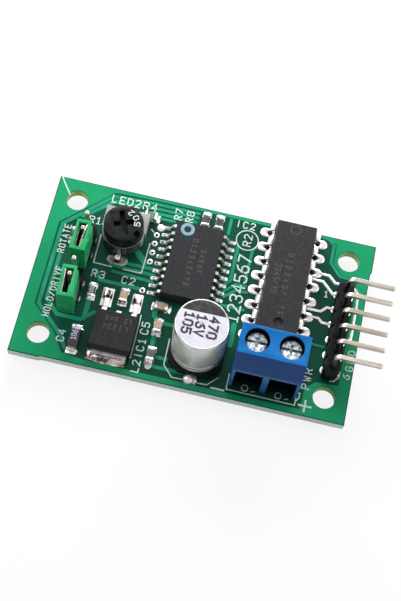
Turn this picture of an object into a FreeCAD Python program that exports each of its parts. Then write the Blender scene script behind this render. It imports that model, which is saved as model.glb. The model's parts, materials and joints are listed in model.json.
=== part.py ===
import FreeCAD, Part
import Sketcher
import os

# Stepper motor driver board, in millimetres.
# The origin is the centre of the four mounting holes on the board's underside.
# X runs along the long side to the angled header, Y to the trimmer's edge, Z up.

sizes = {
    # board
    "boardThickness": 1.6,
    "stubLength": 4.6,
    "stubDepth": 0.2,
    "mountInset": 3.6,
    "mountDiameter": 3.4,
    # gaps along X, from the left edge to the right one
    "jumperEdge": 6.87,
    "trimmerGap": 0.78,
    "controllerGap": 2.8,
    "driverGap": 5.41,
    "headerGap": 5.39,
    "headerEdge": 3.5,
    # gaps along Y, from the front edge to the rear one
    "terminalEdge": 2.1,
    "terminalGap": 1.73,
    "driverEdge": 1.02,
    "frontMargin": 1.05,
    # plated lead holes, their top pads and the joints below
    "padLength": 3.05,
    "padWidth": 1.55,
    "largePadLength": 3.4,
    "largePadWidth": 1.9,
    "padThickness": 0.05,
    "jointRing": 0.53,
    "jointHeight": 0.8,
    "jointTaper": 28.0,
    "leadTip": 1.3,
    "drillPlay": 0.14,
    # sixteen-lead driver chip
    "driverPitch": 2.54,
    "driverSpread": 0.61,
    "driverRows": 8,
    "driverTrim": 1.12,
    "driverWidth": 6.4,
    "driverHeight": 3.3,
    "driverStandoff": 0.65,
    "driverDraft": 7.0,
    "driverLeadWidth": 0.5,
    "driverLeadThickness": 0.28,
    "driverShoulderWidth": 1.45,
    "driverShoulderFoot": 0.9,
    "driverBend": 0.3,
    "driverDimpleRadius": 0.75,
    "driverDimpleDepth": 0.35,
    "driverDimpleInset": 2.1,
    # twenty-lead controller chip
    "controllerPitch": 1.27,
    "controllerRows": 10,
    "controllerTrim": 0.1,
    "controllerWidth": 7.5,
    "controllerHeight": 2.3,
    "controllerStandoff": 0.15,
    "controllerDraft": 7.0,
    "controllerLeadSpread": 1.45,
    "controllerLeadWidth": 0.42,
    "controllerLeadThickness": 0.25,
    "controllerFoot": 0.8,
    "controllerKnee": 0.55,
    "controllerDimpleRadius": 0.95,
    "controllerDimpleDepth": 0.08,
    "controllerDimpleInset": 1.75,
    # supply regulator
    "regulatorGap": 4.38,
    "regulatorLength": 6.1,
    "regulatorWidth": 6.6,
    "regulatorHeight": 2.3,
    "regulatorDraft": 7.0,
    "tabWidth": 5.35,
    "tabThickness": 0.5,
    "tabReach": 1.1,
    "tabBury": 4.4,
    "tabChamfer": 0.5,
    "regulatorLeadPitch": 4.56,
    "regulatorLeadWidth": 0.8,
    "regulatorLeadThickness": 0.5,
    "regulatorLeadRise": 0.7,
    "regulatorLeadReach": 2.7,
    "regulatorFoot": 1.5,
    "regulatorStub": 0.6,
    # supply capacitor
    "canGap": 1.455,
    "canRadius": 4.0,
    "canTop": 10.1,
    "canRim": 0.45,
    "canGroove": 0.18,
    "canGrooveHeight": 1.3,
    "canGrooveWidth": 0.5,
    "baseMargin": 0.15,
    "baseHeight": 1.1,
    "baseLift": 0.3,
    "baseChamfer": 1.9,
    "canLeadWidth": 0.9,
    "canLeadLength": 2.6,
    "canLeadReach": 0.7,
    # trimmer
    "trimmerShift": 2.5,
    "rotorRadius": 3.03,
    "rotorTop": 4.75,
    "rotorPlay": 0.06,
    "rotorShaft": 0.8,
    "trimmerWall": 0.14,
    "trimmerSideWall": 0.31,
    "trimmerRearWall": 0.56,
    "trimmerRim": 2.5,
    "trimmerLift": 0.25,
    "trimmerFloor": 0.55,
    "slotLong": 4.3,
    "slotShort": 3.1,
    "slotWidth": 0.85,
    "slotDepth": 1.1,
    "slotTurn": 22.0,
    "notchTurn": -31.0,
    "notchDepth": 0.8,
    "notchWidth": 0.95,
    "trackInset": 0.38,
    "trackBand": 0.9,
    "trackThickness": 0.3,
    "wiperInset": 0.24,
    "wiperThickness": 0.15,
    "wiperWidth": 0.8,
    "trimmerPinSpread": 5.0,
    "trimmerPinBack": 0.95,
    "trimmerPinStep": 0.82,
    "trimmerPinWidth": 0.7,
    "trimmerPinThickness": 0.3,
    # screw terminal
    "terminalShift": 0.07,
    "terminalTopDepth": 4.65,
    "terminalSlope": 1.5,
    "terminalLintel": 0.9,
    "terminalPitch": 5.0,
    "terminalTongue": 0.05,
    "terminalPartition": 1.0,
    "terminalFloor": 0.7,
    "terminalSill": 0.9,
    "terminalRearWall": 0.45,
    "shelfThickness": 1.2,
    "screwBack": 2.25,
    "screwHeadRadius": 1.68,
    "screwHeadPlay": 0.22,
    "screwHeadHeight": 1.6,
    "screwRecess": 1.0,
    "screwRadius": 1.2,
    "screwPlay": 0.05,
    "screwSlotWidth": 0.5,
    "screwSlotShort": 1.85,
    "screwSlotDepth": 0.6,
    "cagePlay": 0.15,
    "cageWall": 0.5,
    "cageGap": 2.55,
    "cageTravel": 1.85,
    "notchPlay": 0.25,
    "bladeThickness": 0.6,
    "contactLegWidth": 1.0,
    "contactLegThickness": 0.5,
    # angled motor header
    "headerY": -1.0,
    "headerPins": 6,
    "pinPitch": 2.54,
    "pinSize": 0.64,
    "stripWidth": 2.45,
    "stripHeight": 2.49,
    "stripChamfer": 0.45,
    "headerRun": 6.3,
    "headerReach": 6.75,
    "headerBend": 0.45,
    "tipChamfer": 0.16,
    # jumpers, behind one another; each cap overhangs its strip in front by one pitch
    "jumperSplit": -0.94,
    "jumperPins": 2,
    "jumperPinRise": 6.01,
    "capWall": 0.55,
    "capEndWall": 0.4,
    "capPlay": 0.04,
    "capHeight": 6.0,
    "capRoof": 0.9,
    "capLip": 0.15,
    "capBlock": 0.3,
    "capBlockLength": 1.3,
    "capStep": 0.14,
    "capStepLength": 3.0,
    "capStepHeight": 1.5,
    "clipLeaf": 0.18,
    "clipPlay": 0.15,
    "clipMouth": 0.3,
    "clipTop": 0.15,
    "directionTwist": 1.0,
    "runTwist": 4.5,
    # chips with two metal ends
    "chipLength": 2.0,
    "chipWidth": 1.25,
    "chipEnd": 0.4,
    "chipSkin": 0.04,
    "resistorHeight": 0.5,
    "ceramicHeight": 0.95,
    "tantalumLength": 3.2,
    "tantalumWidth": 1.6,
    "tantalumHeight": 1.6,
    "tantalumEnd": 0.7,
    "filletLength": 0.5,
    "filletHeight": 0.3,
    "padGap": 0.02,
    # gaps between these chips and their neighbours
    "pullupGap": 0.05,
    "inputGap": 0.63,
    "inputDrop": 2.16,
    "clockShift": 0.42,
    "resistorSpacing": 0.9,
    "stubGap": 1.35,
    "ceramicGap": 0.705,
    "ceramicShift": 0.2,
    "outputGap": 1.775,
    "outputStep": 1.125,
    "beadStep": 1.65,
    "lightGap": 0.08,
    "lightInset": 0.05,
    "tantalumGap": 1.3,
    "tantalumEdge": 1.6,
}


class Size:
    # A number together with the sheet expression that it comes from
    def __init__(self, number, text):
        self.number = number
        self.text = text

    def __add__(self, other):
        other = asSize(other)
        return Size(self.number + other.number, f"({self.text} + {other.text})")

    def __sub__(self, other):
        other = asSize(other)
        return Size(self.number - other.number, f"({self.text} - {other.text})")

    def __mul__(self, other):
        other = asSize(other)
        return Size(self.number * other.number, f"({self.text} * {other.text})")

    def __truediv__(self, other):
        other = asSize(other)
        return Size(self.number / other.number, f"({self.text} / {other.text})")

    def __neg__(self):
        return Size(-self.number, f"(-1 * {self.text})")


def asSize(value):
    if isinstance(value, Size):
        return value
    return Size(float(value), f"({float(value)})")


doc = FreeCAD.newDocument("StepperDriver")
sheet = doc.addObject("Spreadsheet::Sheet", "Sizes")
for row, (alias, value) in enumerate(sizes.items(), start=1):
    sheet.set(f"A{row}", alias)
    sheet.set(f"B{row}", str(value))
    sheet.setAlias(f"B{row}", alias)
doc.recompute()


def cell(alias):
    return Size(float(sizes[alias]), f"Sizes.{alias}")


def bind(thing, path, value):
    thing.setExpression(path, asSize(value).text)


def place(thing, x, y, z, turn=None):
    # The turn is about the vertical, in degrees
    bind(thing, "Placement.Base.x", x)
    bind(thing, "Placement.Base.y", y)
    bind(thing, "Placement.Base.z", z)
    if turn is not None:
        thing.Placement.Rotation = FreeCAD.Rotation(FreeCAD.Vector(0, 0, 1), asSize(turn).number)
        bind(thing, "Placement.Rotation.Angle", turn)
    return thing


# Primitives and booleans

def makeBox(name, length, width, height, x, y, z):
    # A block centred on x and y that stands on z
    block = doc.addObject("Part::Box", name)
    length, width = asSize(length), asSize(width)
    bind(block, "Length", length)
    bind(block, "Width", width)
    bind(block, "Height", height)
    return place(block, asSize(x) - length / 2, asSize(y) - width / 2, z)


def makeCylinder(name, radius, height, x, y, z):
    post = doc.addObject("Part::Cylinder", name)
    bind(post, "Radius", radius)
    bind(post, "Height", height)
    return place(post, x, y, z)


def cut(name, base, tool):
    result = doc.addObject("Part::Cut", name)
    result.Base = base
    result.Tool = tool
    return result


def fuse(name, *shapes):
    result = doc.addObject("Part::MultiFuse", name)
    result.Shapes = list(shapes)
    result.Refine = True
    return result


def group(name, shapes):
    # Separate solids that share one node
    result = doc.addObject("Part::Compound", name)
    result.Links = list(shapes)
    return result


# Bodies, sketches and their features

def newBody(name, x=0, y=0, z=0, turn=None):
    body = doc.addObject("PartDesign::Body", name)
    return place(body, x, y, z, turn)


def originPart(body, role):
    for feature in body.Origin.OriginFeatures:
        if feature.Role == role:
            return feature
    raise ValueError(role)


def newSketch(body, role="XY_Plane", offset=None):
    sketch = body.newObject("Sketcher::SketchObject", body.Name + "Sketch")
    sketch.AttachmentSupport = [(originPart(body, role), "")]
    sketch.MapMode = "FlatFace"
    if offset is not None:
        bind(sketch, "AttachmentOffset.Base.z", offset)
    return sketch


def fixPoint(sketch, geometry, end, x, y):
    for kind, value in (("DistanceX", asSize(x)), ("DistanceY", asSize(y))):
        index = sketch.addConstraint(
            Sketcher.Constraint(kind, -1, 1, geometry, end, value.number))
        sketch.setExpression(f"Constraints[{index}]", value.text)


def addOutline(sketch, corners):
    # A closed run of straight lines through the given corners
    corners = [(asSize(x), asSize(y)) for x, y in corners]
    points = [FreeCAD.Vector(x.number, y.number, 0) for x, y in corners]
    lines = []
    for number, point in enumerate(points):
        following = points[(number + 1) % len(points)]
        lines.append(sketch.addGeometry(Part.LineSegment(point, following), False))
    for number, line in enumerate(lines):
        following = lines[(number + 1) % len(lines)]
        sketch.addConstraint(Sketcher.Constraint("Coincident", line, 2, following, 1))
    for line, (x, y) in zip(lines, corners):
        fixPoint(sketch, line, 1, x, y)


def addRectangle(sketch, width, height, x=0, y=0):
    halfWidth, halfHeight = asSize(width) / 2, asSize(height) / 2
    x, y = asSize(x), asSize(y)
    addOutline(sketch, [
        (x - halfWidth, y - halfHeight), (x + halfWidth, y - halfHeight),
        (x + halfWidth, y + halfHeight), (x - halfWidth, y + halfHeight)])


def addOctagon(sketch, width, height, bevel, x=0, y=0):
    halfWidth, halfHeight = asSize(width) / 2, asSize(height) / 2
    x, y = asSize(x), asSize(y)
    left, right = x - halfWidth, x + halfWidth
    low, high = y - halfHeight, y + halfHeight
    addOutline(sketch, [
        (right, low + bevel), (right, high - bevel), (right - bevel, high),
        (left + bevel, high), (left, high - bevel), (left, low + bevel),
        (left + bevel, low), (right - bevel, low)])


def addCircle(sketch, radius, x=0, y=0):
    radius, x, y = asSize(radius), asSize(x), asSize(y)
    centre = FreeCAD.Vector(x.number, y.number, 0)
    up = FreeCAD.Vector(0, 0, 1)
    circle = sketch.addGeometry(Part.Circle(centre, up, radius.number), False)
    fixPoint(sketch, circle, 3, x, y)
    index = sketch.addConstraint(Sketcher.Constraint("Radius", circle, radius.number))
    sketch.setExpression(f"Constraints[{index}]", radius.text)


def addFeature(body, kind, sketch, length, symmetric=False, down=False):
    feature = body.newObject("PartDesign::" + kind, body.Name + kind)
    feature.Profile = sketch
    feature.Reversed = down
    if symmetric:
        feature.SideType = "Symmetric"
    bind(feature, "Length", length)
    body.Tip = feature
    return feature


def slant(body, angle, down=False):
    # Leans the upright sides inwards, away from the body's own XY plane
    doc.recompute()
    base = body.Tip
    sides = [f"Face{number}" for number, face in enumerate(base.Shape.Faces, start=1)
             if abs(face.normalAt(0, 0).z) < 1e-6]
    draft = body.newObject("PartDesign::Draft", body.Name + "Draft")
    draft.Base = (base, sides)
    draft.NeutralPlane = (originPart(body, "XY_Plane"), [""])
    draft.Reversed = down
    bind(draft, "Angle", angle)
    body.Tip = draft


def repeat(body, role, count, spacing, features=None):
    # Copies of the given features, or of the whole body so far
    doc.recompute()
    row = body.newObject("PartDesign::LinearPattern", body.Name + "Row")
    if features is None:
        row.TransformMode = "Whole shape"
    else:
        row.Originals = features
    row.Direction = (originPart(body, role), [""])
    row.Mode = "Spacing"
    bind(row, "Offset", spacing)
    bind(row, "Occurrences", count)
    body.Tip = row
    return row


def mirror(body, role):
    doc.recompute()
    twin = body.newObject("PartDesign::Mirrored", body.Name + "Mirror")
    twin.TransformMode = "Whole shape"
    twin.MirrorPlane = (originPart(body, role), [""])
    body.Tip = twin
    return twin


def dress(body, kind, size, picked):
    # Rounds or bevels the edges of the body's tip that the test picks
    doc.recompute()
    base = body.Tip
    names = [f"Edge{number}" for number, edge in enumerate(base.Shape.Edges, start=1)
             if picked(edge)]
    feature = body.newObject("PartDesign::" + kind, body.Name + kind)
    feature.Base = (base, names)
    bind(feature, "Radius" if kind == "Fillet" else "Size", size)
    body.Tip = feature
    return feature


# The share of an even octagon's width that each bevel takes
flatShare = 1 - 0.5 ** 0.5
# The share of a lead's thickness by which its bends shift the inner outline
bendShare = 0.42

top = cell("boardThickness")
tipLevel = -cell("leadTip")
pin = cell("pinSize")
stripFoot = top + cell("padThickness")

# Outer sizes that follow from the inner ones
driverLength = cell("driverPitch") * cell("driverRows") - cell("driverTrim")
driverSpan = cell("driverWidth") + cell("driverSpread") * 2
controllerLength = cell("controllerPitch") * cell("controllerRows") + cell("controllerTrim")
controllerSpan = cell("controllerWidth") + cell("controllerLeadSpread") * 2
baseWidth = (cell("canRadius") + cell("baseMargin")) * 2
bowlRadius = cell("rotorRadius") + cell("rotorPlay")
drumRadius = bowlRadius + cell("trimmerWall")
trimmerWidth = (bowlRadius + cell("trimmerSideWall")) * 2
trimmerBack = bowlRadius + cell("trimmerRearWall")
terminalDepth = cell("terminalTopDepth") + cell("terminalSlope")
terminalLength = cell("terminalPitch") * 2 + cell("terminalTongue")
clipWidth = pin + (cell("clipPlay") + cell("clipLeaf")) * 2
capWidth = clipWidth + cell("capWall") * 2

# The board's size and the parts' places, as sums along X and along Y
boardLength = (
    cell("jumperEdge") + capWidth / 2 + cell("trimmerGap") + drumRadius + trimmerWidth / 2
    + cell("controllerGap") + controllerSpan + cell("driverGap") + driverSpan
    + cell("headerGap") + cell("headerEdge"))
boardWidth = (cell("terminalEdge") + terminalDepth + cell("terminalGap") + driverLength
              + cell("driverEdge"))
frontEdge = -boardWidth / 2
jumperX = cell("jumperEdge") - boardLength / 2
trimmerX = jumperX + capWidth / 2 + cell("trimmerGap") + drumRadius
controllerX = trimmerX + trimmerWidth / 2 + cell("controllerGap") + controllerSpan / 2
driverX = controllerX + controllerSpan / 2 + cell("driverGap") + driverSpan / 2
headerX = boardLength / 2 - cell("headerEdge")
terminalX = driverX - cell("terminalShift")
terminalBack = frontEdge + cell("terminalEdge") + terminalDepth
rowY = terminalBack + cell("terminalGap") + driverLength / 2
trimmerY = rowY + cell("trimmerShift")
jumperHalf = cell("pinPitch") * cell("jumperPins") / 2
directionY = cell("jumperSplit") + cell("pinPitch") + jumperHalf
runY = cell("jumperSplit") - jumperHalf
canX = terminalX - terminalLength / 2 - cell("canGap") - baseWidth / 2
canY = (frontEdge + cell("frontMargin") + cell("filletLength") + cell("canLeadReach")
        + baseWidth / 2)
regulatorX = jumperX + cell("regulatorGap") + cell("regulatorWidth") / 2
regulatorY = (frontEdge + cell("frontMargin") + cell("filletLength") + cell("tabReach")
              + cell("regulatorLength") / 2)
nodes = {}


def keep(name, thing):
    thing.Label = name
    nodes[name] = thing
    return thing


# Rows of leads that pass through the board: centre, lead section, count and pitch

class LeadGrid:
    def __init__(self, x, y, sizeX, sizeY, rows, pitch, span=None, turned=False):
        self.x, self.y = asSize(x), asSize(y)
        self.sizeX, self.sizeY = asSize(sizeX), asSize(sizeY)
        self.rows, self.pitch, self.span = asSize(rows), asSize(pitch), span
        self.turned = turned

    def start(self):
        # The first lead: front row, left column
        away = self.pitch * (self.rows - 1) / 2
        if self.turned:
            return self.x - away, self.y
        x = self.x if self.span is None else self.x - self.span / 2
        return x, self.y - away

    def columns(self):
        # The x of each lead in the first row
        x = self.start()[0]
        return [x] if self.span is None else [x, x + self.span]

    def largest(self):
        return self.sizeX if self.sizeX.number > self.sizeY.number else self.sizeY

    def addHole(self, sketch, x=0, y=0):
        # Eight flats stand for the drilled round, clear of the lead
        width = self.largest() + cell("drillPlay") * 2
        addOctagon(sketch, width, width, width * flatShare, x, y)

    def spread(self, body, features=None):
        if self.rows.number > 1:
            repeat(body, "X_Axis" if self.turned else "Y_Axis", self.rows, self.pitch, features)
        if self.span is not None and features is None:
            repeat(body, "X_Axis", 2, self.span)


trimmerRearY = trimmerY + cell("trimmerPinBack")
trimmerFrontY = trimmerY - drumRadius - cell("trimmerPinStep")
contactY = terminalBack - cell("terminalRearWall") - cell("contactLegThickness") / 2
leadGrids = {
    "Driver": LeadGrid(
        driverX, rowY, cell("driverLeadThickness"), cell("driverLeadWidth"),
        cell("driverRows"), cell("driverPitch"), driverSpan),
    "Header": LeadGrid(
        headerX, cell("headerY"), pin, pin, cell("headerPins"), cell("pinPitch")),
    "Direction": LeadGrid(
        jumperX, directionY, pin, pin, cell("jumperPins"), cell("pinPitch")),
    "Run": LeadGrid(
        jumperX, runY, pin, pin, cell("jumperPins"), cell("pinPitch")),
    "TrimmerRear": LeadGrid(
        trimmerX, trimmerRearY, cell("trimmerPinWidth"), cell("trimmerPinThickness"),
        2, cell("trimmerPinSpread"), turned=True),
    "TrimmerFront": LeadGrid(
        trimmerX, trimmerFrontY, cell("trimmerPinWidth"), cell("trimmerPinThickness"),
        1, cell("trimmerPinSpread"), turned=True),
    "Contact": LeadGrid(
        terminalX, contactY, cell("contactLegWidth"), cell("contactLegThickness"),
        2, cell("terminalPitch"), turned=True),
}


# Circuit board with snapped-off panel stubs, mounting holes and lead holes

def makeBoard():
    body = newBody("Board")
    halfLength, halfWidth = boardLength / 2, boardWidth / 2
    stub, depth = cell("stubLength"), cell("stubDepth")
    sketch = newSketch(body)
    addOutline(sketch, [
        (-halfLength, -halfWidth - depth),
        (stub - halfLength, -halfWidth - depth),
        (stub - halfLength + depth * 2, -halfWidth),
        (halfLength, -halfWidth),
        (halfLength, halfWidth - stub - depth * 2),
        (halfLength + depth, halfWidth - stub),
        (halfLength + depth, halfWidth),
        (-halfLength, halfWidth)])
    addFeature(body, "Pad", sketch, top)
    mountX, mountY = halfLength - cell("mountInset"), halfWidth - cell("mountInset")
    sketch = newSketch(body)
    for x in (-mountX, mountX):
        for y in (-mountY, mountY):
            addCircle(sketch, cell("mountDiameter") / 2, x, y)
    addFeature(body, "Pocket", sketch, top, down=True)
    for grid in leadGrids.values():
        sketch = newSketch(body)
        for x in grid.columns():
            grid.addHole(sketch, x, grid.start()[1])
        hole = addFeature(body, "Pocket", sketch, top, down=True)
        grid.spread(body, [hole])
    keep("circuit_board", body)


# Long tinned pads on the top face, each around its lead hole

def makePad(name, length, width):
    grid = leadGrids[name]
    x, y = grid.start()
    body = newBody("Pad" + name, x, y, top)
    sketch = newSketch(body)
    addOctagon(sketch, length, width, width * flatShare)
    grid.addHole(sketch)
    addFeature(body, "Pad", sketch, cell("padThickness"))
    grid.spread(body)
    return body


def makePads():
    pads = [makePad(name, cell("padLength"), cell("padWidth"))
            for name in ("Driver", "Header", "Direction", "Run")]
    pads += [makePad(name, cell("largePadLength"), cell("largePadWidth"))
             for name in ("TrimmerRear", "TrimmerFront")]
    keep("tinned_pads", group("Pads", pads))


# Cone-like soldered joints under the board, around the lead tips

def makeJoints():
    joints = []
    for name, grid in leadGrids.items():
        x, y = grid.start()
        body = newBody("Joint" + name, x, y, 0)
        width = grid.largest() + cell("jointRing") * 2
        sketch = newSketch(body)
        addOctagon(sketch, width, width, width * flatShare)
        addFeature(body, "Pad", sketch, cell("jointHeight"), down=True)
        slant(body, cell("jointTaper"), down=True)
        sketch = newSketch(body)
        addRectangle(sketch, grid.sizeX, grid.sizeY)
        addFeature(body, "Pocket", sketch, cell("jointHeight"))
        grid.spread(body)
        joints.append(body)
    keep("solder_joints", group("Joints", joints))


# Moulded chip bodies, drafted both ways from the line where the leads leave

def makeMoulding(name, x, y, level, below, above, length, width, draft):
    body = newBody(name, x, y, level)
    for reach, down in ((above, False), (below, True)):
        sketch = newSketch(body)
        addRectangle(sketch, width, length)
        addFeature(body, "Pad", sketch, reach, down=down)
        slant(body, draft, down)
    return body


def addDimple(body, radius, depth, x, y, height):
    sketch = newSketch(body, offset=height)
    addCircle(sketch, radius, x, y)
    addFeature(body, "Pocket", sketch, depth)


def makeDriver():
    half = cell("driverHeight") / 2
    level = top + cell("driverStandoff") + half
    body = makeMoulding("DriverBody", driverX, rowY, level, half, half, driverLength,
                        cell("driverWidth"), cell("driverDraft"))
    addDimple(body, cell("driverDimpleRadius"), cell("driverDimpleDepth"),
              0, cell("driverDimpleInset") - driverLength / 2, half)
    keep("driver_body", body)

    # Lead: a wide shoulder bent down from the moulding, then a narrow leg
    thickness, root, bend = cell("driverLeadThickness"), cell("driverWidth") / 2, cell("driverBend")
    exitLevel = level + thickness / 2
    foot = top + cell("driverShoulderFoot")
    outer = -driverSpan / 2 - thickness / 2
    inner = outer + thickness
    body = newBody("DriverLeads", driverX, leadGrids["Driver"].start()[1], 0)
    sketch = newSketch(body, "XZ_Plane")
    addOutline(sketch, [
        (-root, exitLevel), (outer + bend, exitLevel), (outer, exitLevel - bend),
        (outer, foot), (inner, foot), (inner, exitLevel - thickness),
        (-root, exitLevel - thickness)])
    addFeature(body, "Pad", sketch, cell("driverShoulderWidth"), symmetric=True)
    sketch = newSketch(body, offset=tipLevel)
    addRectangle(sketch, thickness, cell("driverLeadWidth"), -driverSpan / 2, 0)
    addFeature(body, "Pad", sketch, foot - tipLevel)
    repeat(body, "Y_Axis", cell("driverRows"), cell("driverPitch"))
    mirror(body, "YZ_Plane")
    keep("driver_leads", body)


controllerFront = rowY - cell("controllerPitch") * (cell("controllerRows") - 1) / 2


def makeController():
    half, root = cell("controllerHeight") / 2, cell("controllerWidth") / 2
    middle = cell("controllerStandoff") + half
    body = makeMoulding("ControllerBody", controllerX, rowY, top + middle, half, half,
                        controllerLength, cell("controllerWidth"), cell("controllerDraft"))
    inset = cell("controllerDimpleInset")
    addDimple(body, cell("controllerDimpleRadius"), cell("controllerDimpleDepth"),
              inset - root, controllerLength / 2 - inset, half)
    keep("controller_body", body)

    # Gull-wing lead: out of the moulding, down a knee and onto its foot
    thickness, outer = cell("controllerLeadThickness"), controllerSpan / 2
    foot, knee, gap = cell("controllerFoot"), cell("controllerKnee"), cell("padGap")
    level, slope = middle + thickness / 2, thickness * bendShare
    body = newBody("ControllerLeads", controllerX, controllerFront, top)
    sketch = newSketch(body, "XZ_Plane")
    addOutline(sketch, [
        (-root, level), (-root - knee, level), (foot - outer + slope, thickness),
        (-outer, thickness), (-outer, gap), (foot - outer + slope * 2, gap),
        (slope - root - knee, level - thickness), (-root, level - thickness)])
    addFeature(body, "Pad", sketch, cell("controllerLeadWidth"), symmetric=True)
    repeat(body, "Y_Axis", cell("controllerRows"), cell("controllerPitch"))
    mirror(body, "YZ_Plane")
    keep("controller_leads", body)


# Supply regulator: moulding over a heat tab, two gull-wing leads and a cut stub

def makeRegulator():
    x, y = regulatorX, regulatorY
    length, width = cell("regulatorLength"), cell("regulatorWidth")
    gap, height = cell("padGap"), cell("regulatorHeight")
    thickness, rise = cell("regulatorLeadThickness"), cell("regulatorLeadRise")
    leadWidth, tab = cell("regulatorLeadWidth"), cell("tabThickness")
    tabLength = cell("tabReach") + cell("tabBury")
    tabFront = -length / 2 - cell("tabReach")
    middle = rise + thickness / 2

    body = makeMoulding("RegulatorBody", x, y, top + middle, middle - gap, height - middle,
                        length, width, cell("regulatorDraft"))
    sketch = newSketch(body, offset=gap - middle)
    addRectangle(sketch, cell("tabWidth"), tabLength, 0, tabFront + tabLength / 2)
    addFeature(body, "Pocket", sketch, tab, down=True)
    keep("regulator_body", body)

    body = newBody("RegulatorTab", x, y, top + gap)
    half, bevel = cell("tabWidth") / 2, cell("tabChamfer")
    sketch = newSketch(body)
    addOutline(sketch, [
        (bevel - half, tabFront), (half - bevel, tabFront), (half, tabFront + bevel),
        (half, tabFront + tabLength), (-half, tabFront + tabLength),
        (-half, tabFront + bevel)])
    addFeature(body, "Pad", sketch, tab)
    keep("regulator_tab", body)

    body = newBody("RegulatorLead", x - cell("regulatorLeadPitch") / 2, y, top)
    root, slope = length / 2, thickness * bendShare
    reach, foot = cell("regulatorLeadReach"), cell("regulatorFoot")
    sketch = newSketch(body, "YZ_Plane")
    addOutline(sketch, [
        (root, rise), (root + slope, rise), (root + reach - foot, gap),
        (root + reach, gap), (root + reach, gap + thickness),
        (root + reach - foot + slope, gap + thickness),
        (root + slope * 2, rise + thickness), (root, rise + thickness)])
    addFeature(body, "Pad", sketch, leadWidth, symmetric=True)
    repeat(body, "X_Axis", 2, cell("regulatorLeadPitch"))
    stub = makeBox("RegulatorStub", leadWidth, cell("regulatorStub"), thickness,
                   x, y + root + cell("regulatorStub") / 2, top + rise)
    keep("regulator_leads", group("RegulatorLeads", [body, stub]))


# Supply capacitor: turned can on a square base, with flat leads front and back

def makeCapacitor():
    x, y = canX, canY
    lift = cell("baseLift")
    half, bevel = baseWidth / 2, cell("baseChamfer")
    body = newBody("CapacitorBase", x, y, top)
    sketch = newSketch(body, offset=lift)
    addOutline(sketch, [
        (bevel - half, -half), (half - bevel, -half), (half, bevel - half),
        (half, half), (-half, half), (-half, bevel - half)])
    addFeature(body, "Pad", sketch, cell("baseHeight") - lift)
    keep("capacitor_base", body)

    body = newBody("CapacitorCan", x, y, top)
    radius, rim, high = cell("canRadius"), cell("canRim"), cell("canTop")
    bottom, groove = cell("baseHeight"), cell("canGroove")
    grooveLow = bottom + cell("canGrooveHeight")
    grooveHigh = grooveLow + cell("canGrooveWidth")
    sketch = newSketch(body, "XZ_Plane")
    addOutline(sketch, [
        (0, bottom), (radius - groove, bottom), (radius, bottom + groove),
        (radius, grooveLow), (radius - groove, grooveLow + groove),
        (radius - groove, grooveHigh - groove), (radius, grooveHigh),
        (radius, high - rim), (radius - rim * flatShare, high - rim * flatShare),
        (radius - rim, high), (0, high)])
    turned = body.newObject("PartDesign::Revolution", "CapacitorTurning")
    turned.Profile = sketch
    turned.ReferenceAxis = (sketch, ["V_Axis"])
    turned.Angle = 360
    body.Tip = turned
    keep("capacitor_can", body)

    lead = cell("canLeadLength")
    leads = []
    for number, side in enumerate((-1, 1)):
        middle = (half + cell("canLeadReach") - lead / 2) * side
        leads.append(makeBox(f"CanLead{number}", cell("canLeadWidth"), lead,
                             lift - cell("padGap"), x, y + middle, top + cell("padGap")))
    keep("capacitor_leads", group("CapacitorLeads", leads))


# Trimmer: housing square behind and round in front, track, rotor, wiper, pins

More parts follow.
